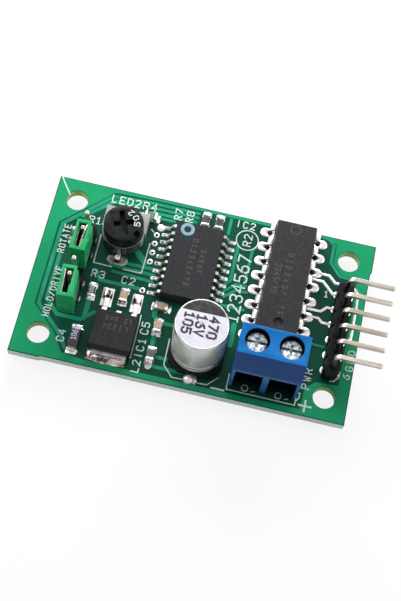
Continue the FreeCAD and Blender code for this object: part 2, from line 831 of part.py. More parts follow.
def makeTrimmer():
    x, y = trimmerX, trimmerY
    lift, floor = cell("trimmerLift"), cell("trimmerFloor")
    play, radius = cell("rotorPlay"), cell("rotorRadius")
    base = top + lift
    rim = top + cell("trimmerRim")
    floorTop = base + floor
    trackOuter = radius - cell("trackInset")
    trackInner = trackOuter - cell("trackBand")
    pinWide, pinThick = cell("trimmerPinWidth"), cell("trimmerPinThickness")
    trackTop = floorTop + cell("trackThickness")
    wiperLevel = trackTop + play
    rotorLevel = wiperLevel + cell("wiperThickness")

    block = makeBox("TrimmerBlock", trimmerWidth, trimmerBack, rim - base,
                    x, y + trimmerBack / 2, base)
    drum = makeCylinder("TrimmerDrum", drumRadius, rim - base, x, y, base)
    outside = fuse("TrimmerOutside", block, drum)
    hollow = makeCylinder("TrimmerHollow", bowlRadius, rim - floorTop, x, y, floorTop)
    bore = makeCylinder("TrimmerBore", cell("rotorShaft") + play, floor, x, y, base)
    pinRoom = [hollow, bore]
    for number, side in enumerate((-1, 1)):
        pinRoom.append(makeBox(f"TrimmerPinRoom{number}", pinWide, pinThick, floor,
                               x + cell("trimmerPinSpread") / 2 * side, trimmerRearY, base))
    frontReach = y - trackOuter - trimmerFrontY + pinThick / 2
    frontMiddle = y - trackOuter - frontReach / 2
    pinRoom.append(makeBox("TrimmerFrontRoom", pinWide, frontReach, pinThick,
                           x, frontMiddle, base))
    keep("trimmer_housing", cut("TrimmerHousing", outside, fuse("TrimmerRoom", *pinRoom)))

    # Pins: two straight ones behind, one folded forward and down in front
    pins = []
    for number, side in enumerate((-1, 1)):
        pins.append(makeBox(f"TrimmerPin{number}", pinWide, pinThick, floorTop - tipLevel,
                            x + cell("trimmerPinSpread") / 2 * side, trimmerRearY, tipLevel))
    strap = makeBox("TrimmerStrap", pinWide, frontReach, pinThick, x, frontMiddle, base)
    leg = makeBox("TrimmerLeg", pinWide, pinThick, base - tipLevel, x, trimmerFrontY, tipLevel)
    pins.append(fuse("TrimmerFrontPin", strap, leg))
    keep("trimmer_pins", group("TrimmerPins", pins))

    # Horseshoe track on the floor, open towards the front
    thick = cell("trackThickness")
    ring = makeCylinder("TrackDisc", trackOuter, thick, x, y, floorTop)
    eye = makeCylinder("TrackEye", trackInner, thick, x, y, floorTop)
    mouth = makeBox("TrackMouth", trackInner, trackOuter, thick,
                    x, y - trackOuter / 2, floorTop)
    keep("trimmer_track", cut("TrimmerTrack", ring, fuse("TrackOpening", eye, mouth)))

    # Rotor: a cap with a shaft below, a crossed slot above and a notch in its rim
    rotorTop = top + cell("rotorTop")
    head = makeCylinder("RotorHead", radius, rotorTop - rotorLevel, x, y, rotorLevel)
    shaft = makeCylinder("RotorShaft", cell("rotorShaft"), rotorLevel - base, x, y, base)
    slots = []
    wide, deep = cell("slotWidth"), cell("slotDepth")
    for name, across, along in (("Long", wide, cell("slotLong")),
                                ("Short", cell("slotShort"), wide)):
        body = newBody("Slot" + name, x, y, rotorTop - deep, cell("slotTurn"))
        sketch = newSketch(body)
        addRectangle(sketch, across, along)
        addFeature(body, "Pad", sketch, deep)
        slots.append(body)
    notch = newBody("RotorNotch", x, y, rotorTop - deep, cell("notchTurn"))
    sketch = newSketch(notch)
    addRectangle(sketch, cell("notchDepth") * 2, cell("notchWidth"), radius, 0)
    addFeature(notch, "Pad", sketch, deep)
    slots.append(notch)
    rotor = cut("Rotor", fuse("RotorSolid", head, shaft), fuse("RotorSlots", *slots))
    keep("trimmer_rotor", rotor)

    # Wiper: a flat washer on the shaft with one arm over the track
    thick = cell("wiperThickness")
    washer = makeCylinder("WiperWasher", trackInner - cell("wiperInset"), thick,
                          x, y, wiperLevel)
    arm = makeBox("WiperArm", cell("wiperWidth"), trackOuter, thick,
                  x, y + trackOuter / 2, wiperLevel)
    shaftHole = makeCylinder("WiperHole", cell("rotorShaft"), thick, x, y, wiperLevel)
    keep("trimmer_wiper", cut("Wiper", fuse("WiperBlank", washer, arm), shaftHole))


# Screw terminal: housing, and in each half a screw, a rising cage and a contact

def makeTerminal():
    x, back, front = terminalX, terminalBack, terminalBack - terminalDepth
    floor, wall, shelf = cell("terminalFloor"), cell("terminalRearWall"), cell("shelfThickness")
    pitch, play, spare = cell("terminalPitch"), cell("screwPlay"), cell("cagePlay")
    headRadius, headHigh = cell("screwHeadRadius"), cell("screwHeadHeight")
    screwY = back - cell("screwBack")
    entryWidth = pitch - cell("terminalPartition")
    cageHigh = cell("cageGap") + cell("cageWall") * 2
    entryTop = floor + cageHigh + cell("cageTravel")
    headLevel = entryTop + shelf
    high = headLevel + headHigh + cell("screwRecess")

    body = newBody("TerminalHousing", x, 0, top)
    sketch = newSketch(body, "YZ_Plane")
    addOutline(sketch, [
        (front, 0), (back, 0), (back, high), (back - cell("terminalTopDepth"), high),
        (front, entryTop + cell("terminalLintel"))])
    addFeature(body, "Pad", sketch, terminalLength, symmetric=True)
    for side in (-1, 1):
        cavityX = pitch / 2 * side
        sketch = newSketch(body, offset=floor)
        addRectangle(sketch, entryWidth, terminalDepth - wall,
                     cavityX, front + (terminalDepth - wall) / 2)
        addFeature(body, "Pocket", sketch, entryTop - floor, down=True)
        sketch = newSketch(body, offset=high)
        addCircle(sketch, headRadius + cell("screwHeadPlay"), cavityX, screwY)
        addFeature(body, "Pocket", sketch, high - headLevel)
        sketch = newSketch(body, offset=headLevel)
        addCircle(sketch, cell("screwRadius") + play, cavityX, screwY)
        addFeature(body, "Pocket", sketch, shelf)
        sketch = newSketch(body)
        addRectangle(sketch, cell("contactLegWidth"), cell("contactLegThickness"),
                     cavityX, contactY)
        addFeature(body, "Pocket", sketch, floor, down=True)
        # The floor starts a little behind the front, open to the board below
        sketch = newSketch(body)
        addRectangle(sketch, entryWidth, cell("terminalSill"),
                     cavityX, front + cell("terminalSill") / 2)
        addFeature(body, "Pocket", sketch, floor, down=True)
    keep("terminal_housing", body)

    cageWidth, cageDepth = entryWidth - spare * 2, (cell("screwBack") - wall - spare) * 2
    cageInside = cageWidth - cell("cageWall") * 2
    bladeTop = top + floor + cell("cageWall") + cell("cageGap") - play
    bladeLevel = bladeTop - cell("bladeThickness")
    bladeBack, bladeFront = back - wall, screwY - cageDepth / 2
    notch = cell("notchPlay")
    contacts = []
    for name, side in (("minus", -1), ("plus", 1)):
        middle = x + pitch / 2 * side

        # Screw: slotted head on the shelf, shank down to the blade
        head = makeCylinder("Head" + name, headRadius, headHigh, middle, screwY,
                            top + headLevel)
        shank = makeCylinder("Shank" + name, cell("screwRadius"), top + headLevel - bladeTop,
                             middle, screwY, bladeTop)
        slotWide, slotDeep = cell("screwSlotWidth"), cell("screwSlotDepth")
        slotLevel = top + headLevel + headHigh - slotDeep
        across = makeBox("Across" + name, headRadius * 2, slotWide, slotDeep,
                         middle, screwY, slotLevel)
        along = makeBox("Along" + name, slotWide, cell("screwSlotShort"), slotDeep,
                        middle, screwY, slotLevel)
        keep("terminal_screw_" + name,
             cut("Screw" + name, fuse("ScrewSolid" + name, head, shank),
                 fuse("ScrewSlots" + name, across, along)))

        # Cage: a strip folded into a loop, tapped above, notched behind for the leg
        cage = newBody("Cage" + name, middle, screwY, top + floor)
        sketch = newSketch(cage, "XZ_Plane")
        addRectangle(sketch, cageWidth, cageHigh, 0, cageHigh / 2)
        addRectangle(sketch, cageInside, cell("cageGap"), 0, cageHigh / 2)
        addFeature(cage, "Pad", sketch, cageDepth, symmetric=True)
        sketch = newSketch(cage, offset=cageHigh)
        addCircle(sketch, cell("screwRadius") + play)
        addFeature(cage, "Pocket", sketch, cell("cageWall"))
        notchDepth = cell("contactLegThickness") - spare + notch
        sketch = newSketch(cage)
        addRectangle(sketch, cell("contactLegWidth") + notch * 2, notchDepth,
                     0, cageDepth / 2 - notchDepth / 2)
        addFeature(cage, "Pocket", sketch, cell("cageWall"), down=True)
        keep("terminal_cage_" + name, cage)

        # Contact: a blade through the cage, its leg down behind the cage
        blade = makeBox("Blade" + name, cageInside - spare * 2, bladeBack - bladeFront,
                        cell("bladeThickness"), middle, (bladeBack + bladeFront) / 2, bladeLevel)
        leg = makeBox("Leg" + name, cell("contactLegWidth"), cell("contactLegThickness"),
                      bladeTop - tipLevel, middle, contactY, tipLevel)
        contacts.append(fuse("Contact" + name, blade, leg))
    keep("terminal_contacts", group("TerminalContacts", contacts))


# Pin strips: eight-sided sections in a row, with a square hole for each pin

def makeStrip(name, label):
    grid = leadGrids[name]
    x, y = grid.start()
    body = newBody(name + "Strip", x, y, stripFoot)
    sketch = newSketch(body)
    addOctagon(sketch, cell("stripWidth"), cell("pinPitch"), cell("stripChamfer"))
    addRectangle(sketch, pin, pin)
    addFeature(body, "Pad", sketch, cell("stripHeight"))
    grid.spread(body)
    keep(label, body)


def atEnd(axis, level):
    # Picks the short edges around a pin's end
    def picked(edge):
        box = edge.BoundBox
        low = (box.XMin, box.YMin, box.ZMin)[axis]
        high = (box.XMax, box.YMax, box.ZMax)[axis]
        return abs(low - level) < 1e-4 and abs(high - level) < 1e-4
    return picked


def makeHeader():
    grid = leadGrids["Header"]
    makeStrip("Header", "header_strip")
    x, y = grid.start()
    half, run = pin / 2, top + cell("headerRun")
    reach = cell("headerReach")
    body = newBody("HeaderPins", x, y, 0)
    sketch = newSketch(body, "XZ_Plane")
    addOutline(sketch, [
        (-half, tipLevel), (half, tipLevel), (half, run - half), (reach, run - half),
        (reach, run + half), (-half, run + half)])
    addFeature(body, "Pad", sketch, pin, symmetric=True)

    def atCorner(cornerX, cornerZ):
        return lambda edge: (abs(edge.CenterOfMass.x - cornerX) < 1e-4
                             and abs(edge.CenterOfMass.z - cornerZ) < 1e-4)

    dress(body, "Fillet", cell("headerBend") + pin,
          atCorner(-half.number, (run + half).number))
    dress(body, "Fillet", cell("headerBend"), atCorner(half.number, (run - half).number))
    dress(body, "Chamfer", cell("tipChamfer"), atEnd(0, reach.number))
    grid.spread(body)
    keep("header_pins", body)


# Jumpers: a two-pin strip, its pins, and a cap with a clip parked on the front pin

def makeJumper(name, twist, leafSide):
    grid = leadGrids[name]
    label = name.lower()
    x, y = grid.start()
    makeStrip(name, label + "_strip")
    body = newBody(name + "Pins", x, y, 0)
    sketch = newSketch(body, offset=tipLevel)
    addRectangle(sketch, pin, pin)
    seat = stripFoot + cell("stripHeight")
    pinTop = seat + cell("jumperPinRise")
    addFeature(body, "Pad", sketch, pinTop - tipLevel)
    dress(body, "Chamfer", cell("tipChamfer"), atEnd(2, pinTop.number))
    grid.spread(body)
    keep(label + "_pins", body)

    high, roof, leaf = cell("capHeight"), cell("capRoof"), cell("clipLeaf")
    length = cell("pinPitch") * 2 - cell("capPlay") * 2
    clipLength = length - cell("capEndWall") * 2
    step, stepLength = cell("capStep"), cell("capStepLength")
    capY = y - cell("pinPitch") / 2
    outer, end = clipWidth / 2, clipLength / 2
    front, rear = cell("capLip") - end, end - cell("capLip")
    block, blockEnd = cell("capBlock"), front + cell("capBlockLength")
    cap = newBody(name + "Cap", x, capY, seat, twist)
    sketch = newSketch(cap)
    addRectangle(sketch, capWidth, length)
    addRectangle(sketch, clipWidth, clipLength)
    addFeature(cap, "Pad", sketch, high - roof)
    sketch = newSketch(cap, offset=high - roof)
    addRectangle(sketch, capWidth, length)
    addOutline(sketch, [
        (-outer, front), (outer - block, front), (outer - block, blockEnd),
        (outer, blockEnd), (outer, rear), (-outer, rear)])
    addFeature(cap, "Pad", sketch, roof)
    # The rear half is set in a little near the top, on both sides
    sketch = newSketch(cap, offset=high)
    for side in (-1, 1):
        addRectangle(sketch, step, stepLength,
                     (capWidth / 2 - step / 2) * side, length / 2 - stepLength / 2)
    addFeature(cap, "Pocket", sketch, cell("capStepHeight"))
    keep(label + "_cap", cap)

    # Clip: two leaves joined at the rear end, one of them up into the roof's opening
    clip = newBody(name + "Clip", x, capY, seat, twist)
    sketch = newSketch(clip, offset=cell("clipMouth"))
    addOutline(sketch, [
        (-outer, -end), (leaf - outer, -end), (leaf - outer, end - leaf),
        (outer - leaf, end - leaf), (outer - leaf, -end), (outer, -end),
        (outer, end), (-outer, end)])
    addFeature(clip, "Pad", sketch, high - roof - cell("clipMouth"))
    sketch = newSketch(clip, offset=high - roof)
    inner = outer - leaf
    lean = block if leafSide > 0 else 0
    addOutline(sketch, [
        ((outer - lean) * leafSide, front), ((inner - lean) * leafSide, front),
        ((inner - lean) * leafSide, blockEnd), (inner * leafSide, rear),
        (outer * leafSide, rear), ((outer - lean) * leafSide, blockEnd)])
    addFeature(clip, "Pad", sketch, roof - cell("clipTop"))
    keep(label + "_clip", clip)


# Chips with two metal ends: a core between two end blocks, and solder at each end

fillets = []


def makeChip(name, x, y, upright, length, width, height, end, skin):
    length, width, height = asSize(length), asSize(width), asSize(height)
    turn = asSize(90 if upright else 0)
    gap = cell("padGap")
    core = newBody("Core" + name, x, y, top + gap, turn)
    sketch = newSketch(core)
    addRectangle(sketch, length - end * 2, width - skin * 2)
    addFeature(core, "Pad", sketch, height - skin)
    keep(name, core)

    ends = newBody("Ends" + name, x, y, top + gap, turn)
    sketch = newSketch(ends)
    addRectangle(sketch, end, width, length / 2 - end / 2)
    addFeature(ends, "Pad", sketch, height)
    mirror(ends, "YZ_Plane")
    keep(name + "_ends", ends)

    solder = newBody("Solder" + name, x, y, top, turn)
    sketch = newSketch(solder, "XZ_Plane")
    reach = length / 2 + cell("filletLength")
    addOutline(sketch, [
        (length / 2, gap), (reach, gap), (length / 2, gap + cell("filletHeight"))])
    addFeature(solder, "Pad", sketch, width, symmetric=True)
    mirror(solder, "YZ_Plane")
    fillets.append(solder)


def makeChips():
    halfWide = cell("chipWidth") / 2
    reach = cell("chipLength") / 2 + cell("filletLength")
    padHalf = cell("padLength") / 2
    clockX = controllerX + cell("clockShift")
    behindY = (rowY + controllerLength / 2 + boardWidth / 2) / 2
    stubRear = regulatorY + cell("regulatorLength") / 2 + cell("regulatorStub")
    outputX = canX - baseWidth / 2 - cell("outputGap") - halfWide
    ceramicY = rowY - controllerLength / 2 - cell("ceramicGap") - halfWide
    outputY = ceramicY - halfWide - cell("outputStep") - reach
    chips = (
        ("resistor_pullup", jumperX - padHalf - cell("pullupGap") - halfWide,
         directionY + cell("pinPitch") / 2, True, "resistorHeight"),
        ("resistor_input", jumperX + padHalf + cell("inputGap") + halfWide,
         cell("jumperSplit") - cell("inputDrop"), True, "resistorHeight"),
        ("resistor_clock", clockX, behindY, True, "resistorHeight"),
        ("resistor_speed", clockX + cell("chipWidth") + cell("resistorSpacing"), behindY,
         True, "resistorHeight"),
        ("ceramic_input", regulatorX, stubRear + cell("stubGap") + reach, True,
         "ceramicHeight"),
        ("ceramic_controller", outputX - cell("ceramicShift"), ceramicY, False,
         "ceramicHeight"),
        ("ceramic_output", outputX, outputY, True, "ceramicHeight"),
        ("ferrite_bead", outputX, outputY - reach * 2 - cell("beadStep"), True,
         "ceramicHeight"),
        ("status_light", trimmerX + trimmerWidth / 2 - cell("lightInset"),
         trimmerY + trimmerBack + cell("lightGap") + halfWide, False, "ceramicHeight"),
    )
    for name, x, y, upright, height in chips:
        makeChip(name, x, y, upright, cell("chipLength"), cell("chipWidth"),
                 cell(height), cell("chipEnd"), cell("chipSkin"))
    long, wide = cell("tantalumLength"), cell("tantalumWidth")
    makeChip("tantalum_chip",
             regulatorX - cell("regulatorWidth") / 2 - cell("tantalumGap") - wide / 2,
             frontEdge + cell("tantalumEdge") + cell("filletLength") + long / 2,
             True, long, wide, cell("tantalumHeight"), cell("tantalumEnd"), cell("chipSkin"))


# Solder at the feet of the leads on the top face

def addWedge(name, x, y, z, width, length, height, turn):
    body = newBody("Solder" + name, x, y, z, turn)
    sketch = newSketch(body, "XZ_Plane")
    addOutline(sketch, [(0, 0), (length, 0), (0, height)])
    addFeature(body, "Pad", sketch, width, symmetric=True)
    fillets.append(body)
    return body


def makeFillets():
    reach, gap = cell("filletLength"), cell("padGap")
    thickness = cell("controllerLeadThickness")
    rows, pitch = cell("controllerRows"), cell("controllerPitch")
    for name, side, turn in (("ControllerRight", 1, 0), ("ControllerLeft", -1, 180)):
        firstY = controllerFront if side > 0 else controllerFront + pitch * (rows - 1)
        body = addWedge(name, controllerX + controllerSpan / 2 * side, firstY, top + gap,
                        cell("controllerLeadWidth"), reach, thickness, turn)
        repeat(body, "Y_Axis", rows, pitch)
    half, leadPitch = cell("regulatorLength") / 2, cell("regulatorLeadPitch")
    body = addWedge("RegulatorLeads", regulatorX + leadPitch / 2,
                    regulatorY + half + cell("regulatorLeadReach"), top + gap,
                    cell("regulatorLeadWidth"), reach, cell("regulatorLeadThickness"), 90)
    repeat(body, "Y_Axis", 2, leadPitch)
    addWedge("RegulatorTab", regulatorX, regulatorY - half - cell("tabReach"), top + gap,
             cell("tabWidth") - cell("tabChamfer") * 2, reach, cell("filletHeight"), -90)
    for name, side, turn in (("CanFront", -1, -90), ("CanRear", 1, 90)):
        away = (baseWidth / 2 + cell("canLeadReach")) * side
        addWedge(name, canX, canY + away, top + gap, cell("canLeadWidth"),
                 reach, cell("baseLift") - gap, turn)
    keep("solder_fillets", group("SolderFillets", fillets))


makeBoard()
makePads()
makeJoints()
makeDriver()
makeController()
makeRegulator()
makeCapacitor()
makeTrimmer()
makeTerminal()
makeHeader()
makeJumper("Direction", cell("directionTwist"), 1)
makeJumper("Run", cell("runTwist"), -1)
makeChips()
makeFillets()
doc.recompute()

for thing in doc.Objects:
    if "Invalid" in thing.State or "Error" in thing.State:
        raise RuntimeError(f"{thing.Name} did not build: {thing.State}")
for name, thing in nodes.items():
    if thing.Shape.isNull() or not thing.Shape.isValid() or not thing.Shape.Solids:
        raise RuntimeError(f"{name} has no valid solid")

os.makedirs("parts", exist_ok=True)
for name, thing in nodes.items():
    thing.Shape.exportStep(f"parts/{name}.step")
print(len(nodes), "nodes,", sum(len(thing.Shape.Solids) for thing in nodes.values()), "solids")
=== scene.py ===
import json
import math
import bpy
import bmesh
from mathutils import Matrix, Vector
from mathutils.geometry import tessellate_polygon


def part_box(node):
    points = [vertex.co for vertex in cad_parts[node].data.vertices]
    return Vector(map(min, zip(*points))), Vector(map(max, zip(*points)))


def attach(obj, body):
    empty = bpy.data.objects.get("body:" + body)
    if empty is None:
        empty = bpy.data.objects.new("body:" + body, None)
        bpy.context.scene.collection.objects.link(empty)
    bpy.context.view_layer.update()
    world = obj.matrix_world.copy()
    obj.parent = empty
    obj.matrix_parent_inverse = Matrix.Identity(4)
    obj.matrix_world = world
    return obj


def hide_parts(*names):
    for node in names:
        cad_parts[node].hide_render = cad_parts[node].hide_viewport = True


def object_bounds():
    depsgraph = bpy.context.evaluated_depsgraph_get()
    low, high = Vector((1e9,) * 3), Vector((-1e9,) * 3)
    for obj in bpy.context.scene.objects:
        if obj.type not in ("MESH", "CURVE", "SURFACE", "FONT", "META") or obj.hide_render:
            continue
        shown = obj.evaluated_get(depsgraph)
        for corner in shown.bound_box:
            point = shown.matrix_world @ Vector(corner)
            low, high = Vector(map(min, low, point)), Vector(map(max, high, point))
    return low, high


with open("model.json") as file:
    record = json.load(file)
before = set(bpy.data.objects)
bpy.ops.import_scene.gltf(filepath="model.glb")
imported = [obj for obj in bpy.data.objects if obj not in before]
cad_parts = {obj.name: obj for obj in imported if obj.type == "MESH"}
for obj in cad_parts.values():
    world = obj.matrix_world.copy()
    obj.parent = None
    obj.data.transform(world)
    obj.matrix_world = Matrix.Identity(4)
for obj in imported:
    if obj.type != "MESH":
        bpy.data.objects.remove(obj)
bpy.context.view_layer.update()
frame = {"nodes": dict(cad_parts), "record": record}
mm = 0.001
nodes = frame["nodes"]
bodyOf = {node: body for body, group in frame["record"]["behaviour"]["bodies"].items()
          for node in group}
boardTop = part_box("circuit_board")[1].z / mm


def boxOf(node):
    return [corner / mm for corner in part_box(node)]


# Materials

def surface(name, low, high, scale, rough, metal=0.0, relief=None, stretch=(1, 1, 1), coat=0.0,
            through=0.0, specular=0.5, sub=0.0, contrast=(0.3, 0.7)):
    # Two tones clouded into each other, with scales per mm; relief holds its depth in mm
    # and its scale
    made = bpy.data.materials.new(name)
    made.use_nodes = True
    tree = made.node_tree
    shader = tree.nodes["Principled BSDF"]
    make, join = tree.nodes.new, tree.links.new
    place = make("ShaderNodeTexCoord")
    mapping = make("ShaderNodeMapping")
    mapping.inputs["Scale"].default_value = stretch
    join(place.outputs["Object"], mapping.inputs["Vector"])
    cloud = make("ShaderNodeTexNoise")
    cloud.inputs["Scale"].default_value = scale / mm
    cloud.inputs["Detail"].default_value = 5.0
    join(mapping.outputs["Vector"], cloud.inputs["Vector"])

    def ramp(start=0.0, end=1.0):
        spread = make("ShaderNodeMapRange")
        for label, value in zip(("From Min", "From Max", "To Min", "To Max"),
                                (*contrast, start, end)):
            spread.inputs[label].default_value = value
        join(cloud.outputs["Fac"], spread.inputs["Value"])
        return spread.outputs["Result"]

    mix = make("ShaderNodeMix")
    mix.data_type = "RGBA"
    mix.inputs["A"].default_value = (*low, 1)
    mix.inputs["B"].default_value = (*high, 1)
    join(ramp(), mix.inputs["Factor"])
    join(mix.outputs["Result"], shader.inputs["Base Color"])
    join(ramp(*rough), shader.inputs["Roughness"])
    fixed = {"Metallic": metal, "IOR": 1.5, "Specular IOR Level": specular, "Coat Weight": coat,
             "Coat Roughness": 0.08, "Transmission Weight": through, "Subsurface Weight": sub,
             "Subsurface Radius": (0.6 * mm, 0.6 * mm, 0.6 * mm), "Subsurface Scale": 1.0}
    for label, value in fixed.items():
        shader.inputs[label].default_value = value
    if relief:
        depth, reliefScale = relief
        grain = make("ShaderNodeTexNoise")
        grain.inputs["Scale"].default_value = reliefScale / mm
        grain.inputs["Detail"].default_value = 4.0
        join(mapping.outputs["Vector"], grain.inputs["Vector"])
        lift = make("ShaderNodeBump")
        lift.inputs["Strength"].default_value = 1.0
        lift.inputs["Distance"].default_value = depth * mm
        join(grain.outputs["Fac"], lift.inputs["Height"])
        join(lift.outputs["Normal"], shader.inputs["Normal"])
    return made


maskDark = surface(
    "mask_laminate", (0.002, 0.045, 0.026), (0.004, 0.075, 0.044), 0.12, rough=(0.2, 0.3),
    relief=(0.004, 1.5), specular=0.12)
maskPour = surface(
    "mask_copper", (0.006, 0.235, 0.098), (0.012, 0.29, 0.125), 0.07, rough=(0.18, 0.27),
    relief=(0.004, 1.5), specular=0.12)
maskTrack = surface(
    "mask_track", (0.010, 0.22, 0.125), (0.02, 0.29, 0.165), 0.4, rough=(0.2, 0.3),
    relief=(0.003, 2), specular=0.12)
laminateEdge = surface(
    "laminate_edge", (0.56, 0.72, 0.66), (0.90, 0.97, 0.93), 0.9, rough=(0.5, 0.8),
    stretch=(0.25, 0.25, 5), relief=(0.02, 2))
holeWall = surface(
    "hole_wall", (0.26, 0.46, 0.17), (0.50, 0.62, 0.33), 1.2, rough=(0.5, 0.8), stretch=(1, 1, 4),
    relief=(0.02, 2))
# Painted shade: near-black walls for the lead holes and vias
drilledHoleShade = surface(
    "drilled_hole_shade", (0.02, 0.018, 0.016), (0.12, 0.1, 0.09), 2.0, rough=(0.3, 0.6), metal=0.6)
silk = surface(
    "silkscreen", (0.42, 0.56, 0.50), (0.65, 0.74, 0.70), 3.0, rough=(0.45, 0.6),
    relief=(0.004, 6))
tinPad = surface(
    "tin_pad", (0.62, 0.55, 0.59), (0.80, 0.74, 0.78), 1.2, rough=(0.22, 0.4), metal=0.55,
    relief=(0.006, 3))
# Solder with white patches that are painted highlights
solderAndGlints = surface(
    "solder_and_painted_glints", (0.26, 0.25, 0.25), (1.0, 0.98, 0.99), 1.3, rough=(0.05, 0.25), metal=0.6,
    relief=(0.08, 1.4), contrast=(0.38, 0.58), coat=0.3)
# Painted reflection: solder darkened to stand for the dark surroundings it mirrors
solderShadedReflection = surface(
    "solder_shaded_reflection", (0.045, 0.036, 0.034), (0.50, 0.42, 0.39), 0.8, rough=(0.08, 0.25), metal=0.85,
    relief=(0.06, 1.2), contrast=(0.42, 0.64))
tinLead = surface(
    "tin_lead", (0.52, 0.49, 0.45), (0.80, 0.77, 0.73), 1.5, rough=(0.2, 0.4), metal=0.9,
    relief=(0.006, 5))
wingTin = surface(
    "wing_tin", (0.26, 0.24, 0.21), (0.80, 0.78, 0.74), 1.1, rough=(0.12, 0.35), metal=0.8,
    relief=(0.01, 4))
shoulderTin = surface(
    "shoulder_tin", (0.72, 0.69, 0.64), (0.92, 0.90, 0.86), 1.2, rough=(0.25, 0.4), metal=0.75,
    relief=(0.005, 4))
chipEpoxy = surface(
    "chip_epoxy", (0.013, 0.014, 0.016), (0.028, 0.029, 0.032), 2.5, rough=(0.45, 0.62),
    relief=(0.012, 9), specular=0.1)
driverEpoxy = surface(
    "driver_epoxy", (0.012, 0.012, 0.013), (0.027, 0.026, 0.029), 2.0, rough=(0.42, 0.6),
    relief=(0.014, 8), specular=0.14)
basePlate = surface(
    "base_plate", (0.004, 0.004, 0.005), (0.010, 0.010, 0.012), 2.0, rough=(0.35, 0.5),
    relief=(0.01, 6), specular=0.1)
canSatin = surface(
    "can_satin", (0.59, 0.59, 0.565), (0.72, 0.72, 0.695), 0.5, rough=(0.28, 0.38), metal=0.45,
    stretch=(1, 1, 8), relief=(0.004, 3))
canShoulder = surface(
    "can_shoulder", (0.42, 0.42, 0.42), (0.56, 0.56, 0.56), 0.5, rough=(0.1, 0.2), metal=1.0,
    relief=(0.004, 3))
# Painted shade: dark paint on the two slopes of the can's groove
canGrooveShade = surface(
    "can_groove_shade", (0.10, 0.10, 0.10), (0.20, 0.20, 0.20), 0.8, rough=(0.3, 0.5), metal=0.6,
    relief=(0.003, 4))
canPrint = surface(
    "can_print", (0.60, 0.59, 0.68), (0.70, 0.69, 0.77), 0.8, rough=(0.36, 0.46),
    relief=(0.003, 6))
inkBlack = surface(
    "ink_black", (0.010, 0.010, 0.012), (0.03, 0.03, 0.034), 3.0, rough=(0.35, 0.5),
    relief=(0.003, 8))
canSegment = surface(
    "can_segment", (0.010, 0.010, 0.010), (0.055, 0.053, 0.054), 1.6, rough=(0.3, 0.5),
    contrast=(0.45, 0.75), relief=(0.003, 8))
trimmerResin = surface(
    "trimmer_resin", (0.44, 0.46, 0.43), (0.58, 0.59, 0.56), 0.5, rough=(0.12, 0.22), through=0.35,
    relief=(0.006, 2))
# Painted shade: a darker copy of the trimmer resin for the housing's front-facing faces
trimmerFrontShade = surface(
    "trimmer_front_shade", (0.035, 0.052, 0.042), (0.08, 0.105, 0.09), 0.6, rough=(0.12, 0.22),
    through=0.3, relief=(0.006, 2))
rotorBlack = surface(
    "rotor_black", (0.003, 0.004, 0.004), (0.010, 0.012, 0.012), 1.5, rough=(0.3, 0.42),
    relief=(0.012, 4), specular=0.12)
carbonInk = surface(
    "carbon_ink", (0.014, 0.014, 0.014), (0.03, 0.03, 0.03), 4.0, rough=(0.6, 0.75),
    relief=(0.01, 9))
springBrass = surface(
    "spring_brass", (0.62, 0.50, 0.26), (0.84, 0.72, 0.44), 1.0, rough=(0.18, 0.35), metal=1.0,
    stretch=(1, 1, 6), relief=(0.004, 3))
terminalBlue = surface(
    "terminal_blue", (0.003, 0.115, 0.36), (0.006, 0.15, 0.45), 0.5, rough=(0.28, 0.4),
    relief=(0.006, 3), specular=0.2)
terminalShade = surface(
    "terminal_shade", (0.001, 0.004, 0.012), (0.002, 0.007, 0.022), 0.5, rough=(0.4, 0.5),
    relief=(0.006, 3), specular=0.05)
# Painted shade: a darker copy of the terminal blue for the housing's front slope
terminalSlopeShade = surface(
    "terminal_slope_shade", (0.018, 0.075, 0.25), (0.025, 0.09, 0.31), 0.5, rough=(0.35, 0.5),
    relief=(0.006, 3), specular=0.15)
# Chrome screw heads, with white and blue-grey patches that are painted reflections
screwChromeAndReflection = surface(
    "screw_chrome_and_reflection", (0.28, 0.40, 0.48), (1.0, 1.0, 1.0), 2.0, rough=(0.15, 0.4), metal=0.35,
    relief=(0.08, 2.2), contrast=(0.42, 0.55))
screwShade = surface(
    "screw_shade", (0.10, 0.15, 0.18), (0.55, 0.66, 0.72), 1.6, rough=(0.2, 0.4), metal=0.5,
    relief=(0.03, 1.8))
cageZinc = surface(
    "cage_zinc", (0.50, 0.50, 0.50), (0.78, 0.78, 0.77), 1.0, rough=(0.2, 0.4), metal=1.0,
    stretch=(1, 6, 1), relief=(0.01, 3))
stripBlack = surface(
    "strip_black", (0.003, 0.003, 0.004), (0.010, 0.010, 0.012), 1.5, rough=(0.3, 0.45),
    relief=(0.012, 5), specular=0.12)
pinGold = surface(
    "pin_gold", (0.36, 0.33, 0.27), (0.58, 0.54, 0.465), 0.9, rough=(0.2, 0.34), metal=0.8,
    stretch=(0.2, 1, 1), relief=(0.004, 4))
pinShade = surface(
    "pin_shade", (0.03, 0.027, 0.022), (0.10, 0.09, 0.065), 0.9, rough=(0.2, 0.34), metal=0.9,
    relief=(0.004, 4))
leadShade = surface(
    "lead_shade", (0.02, 0.018, 0.016), (0.10, 0.09, 0.08), 1.5, rough=(0.25, 0.4), metal=0.9,
    relief=(0.006, 4))
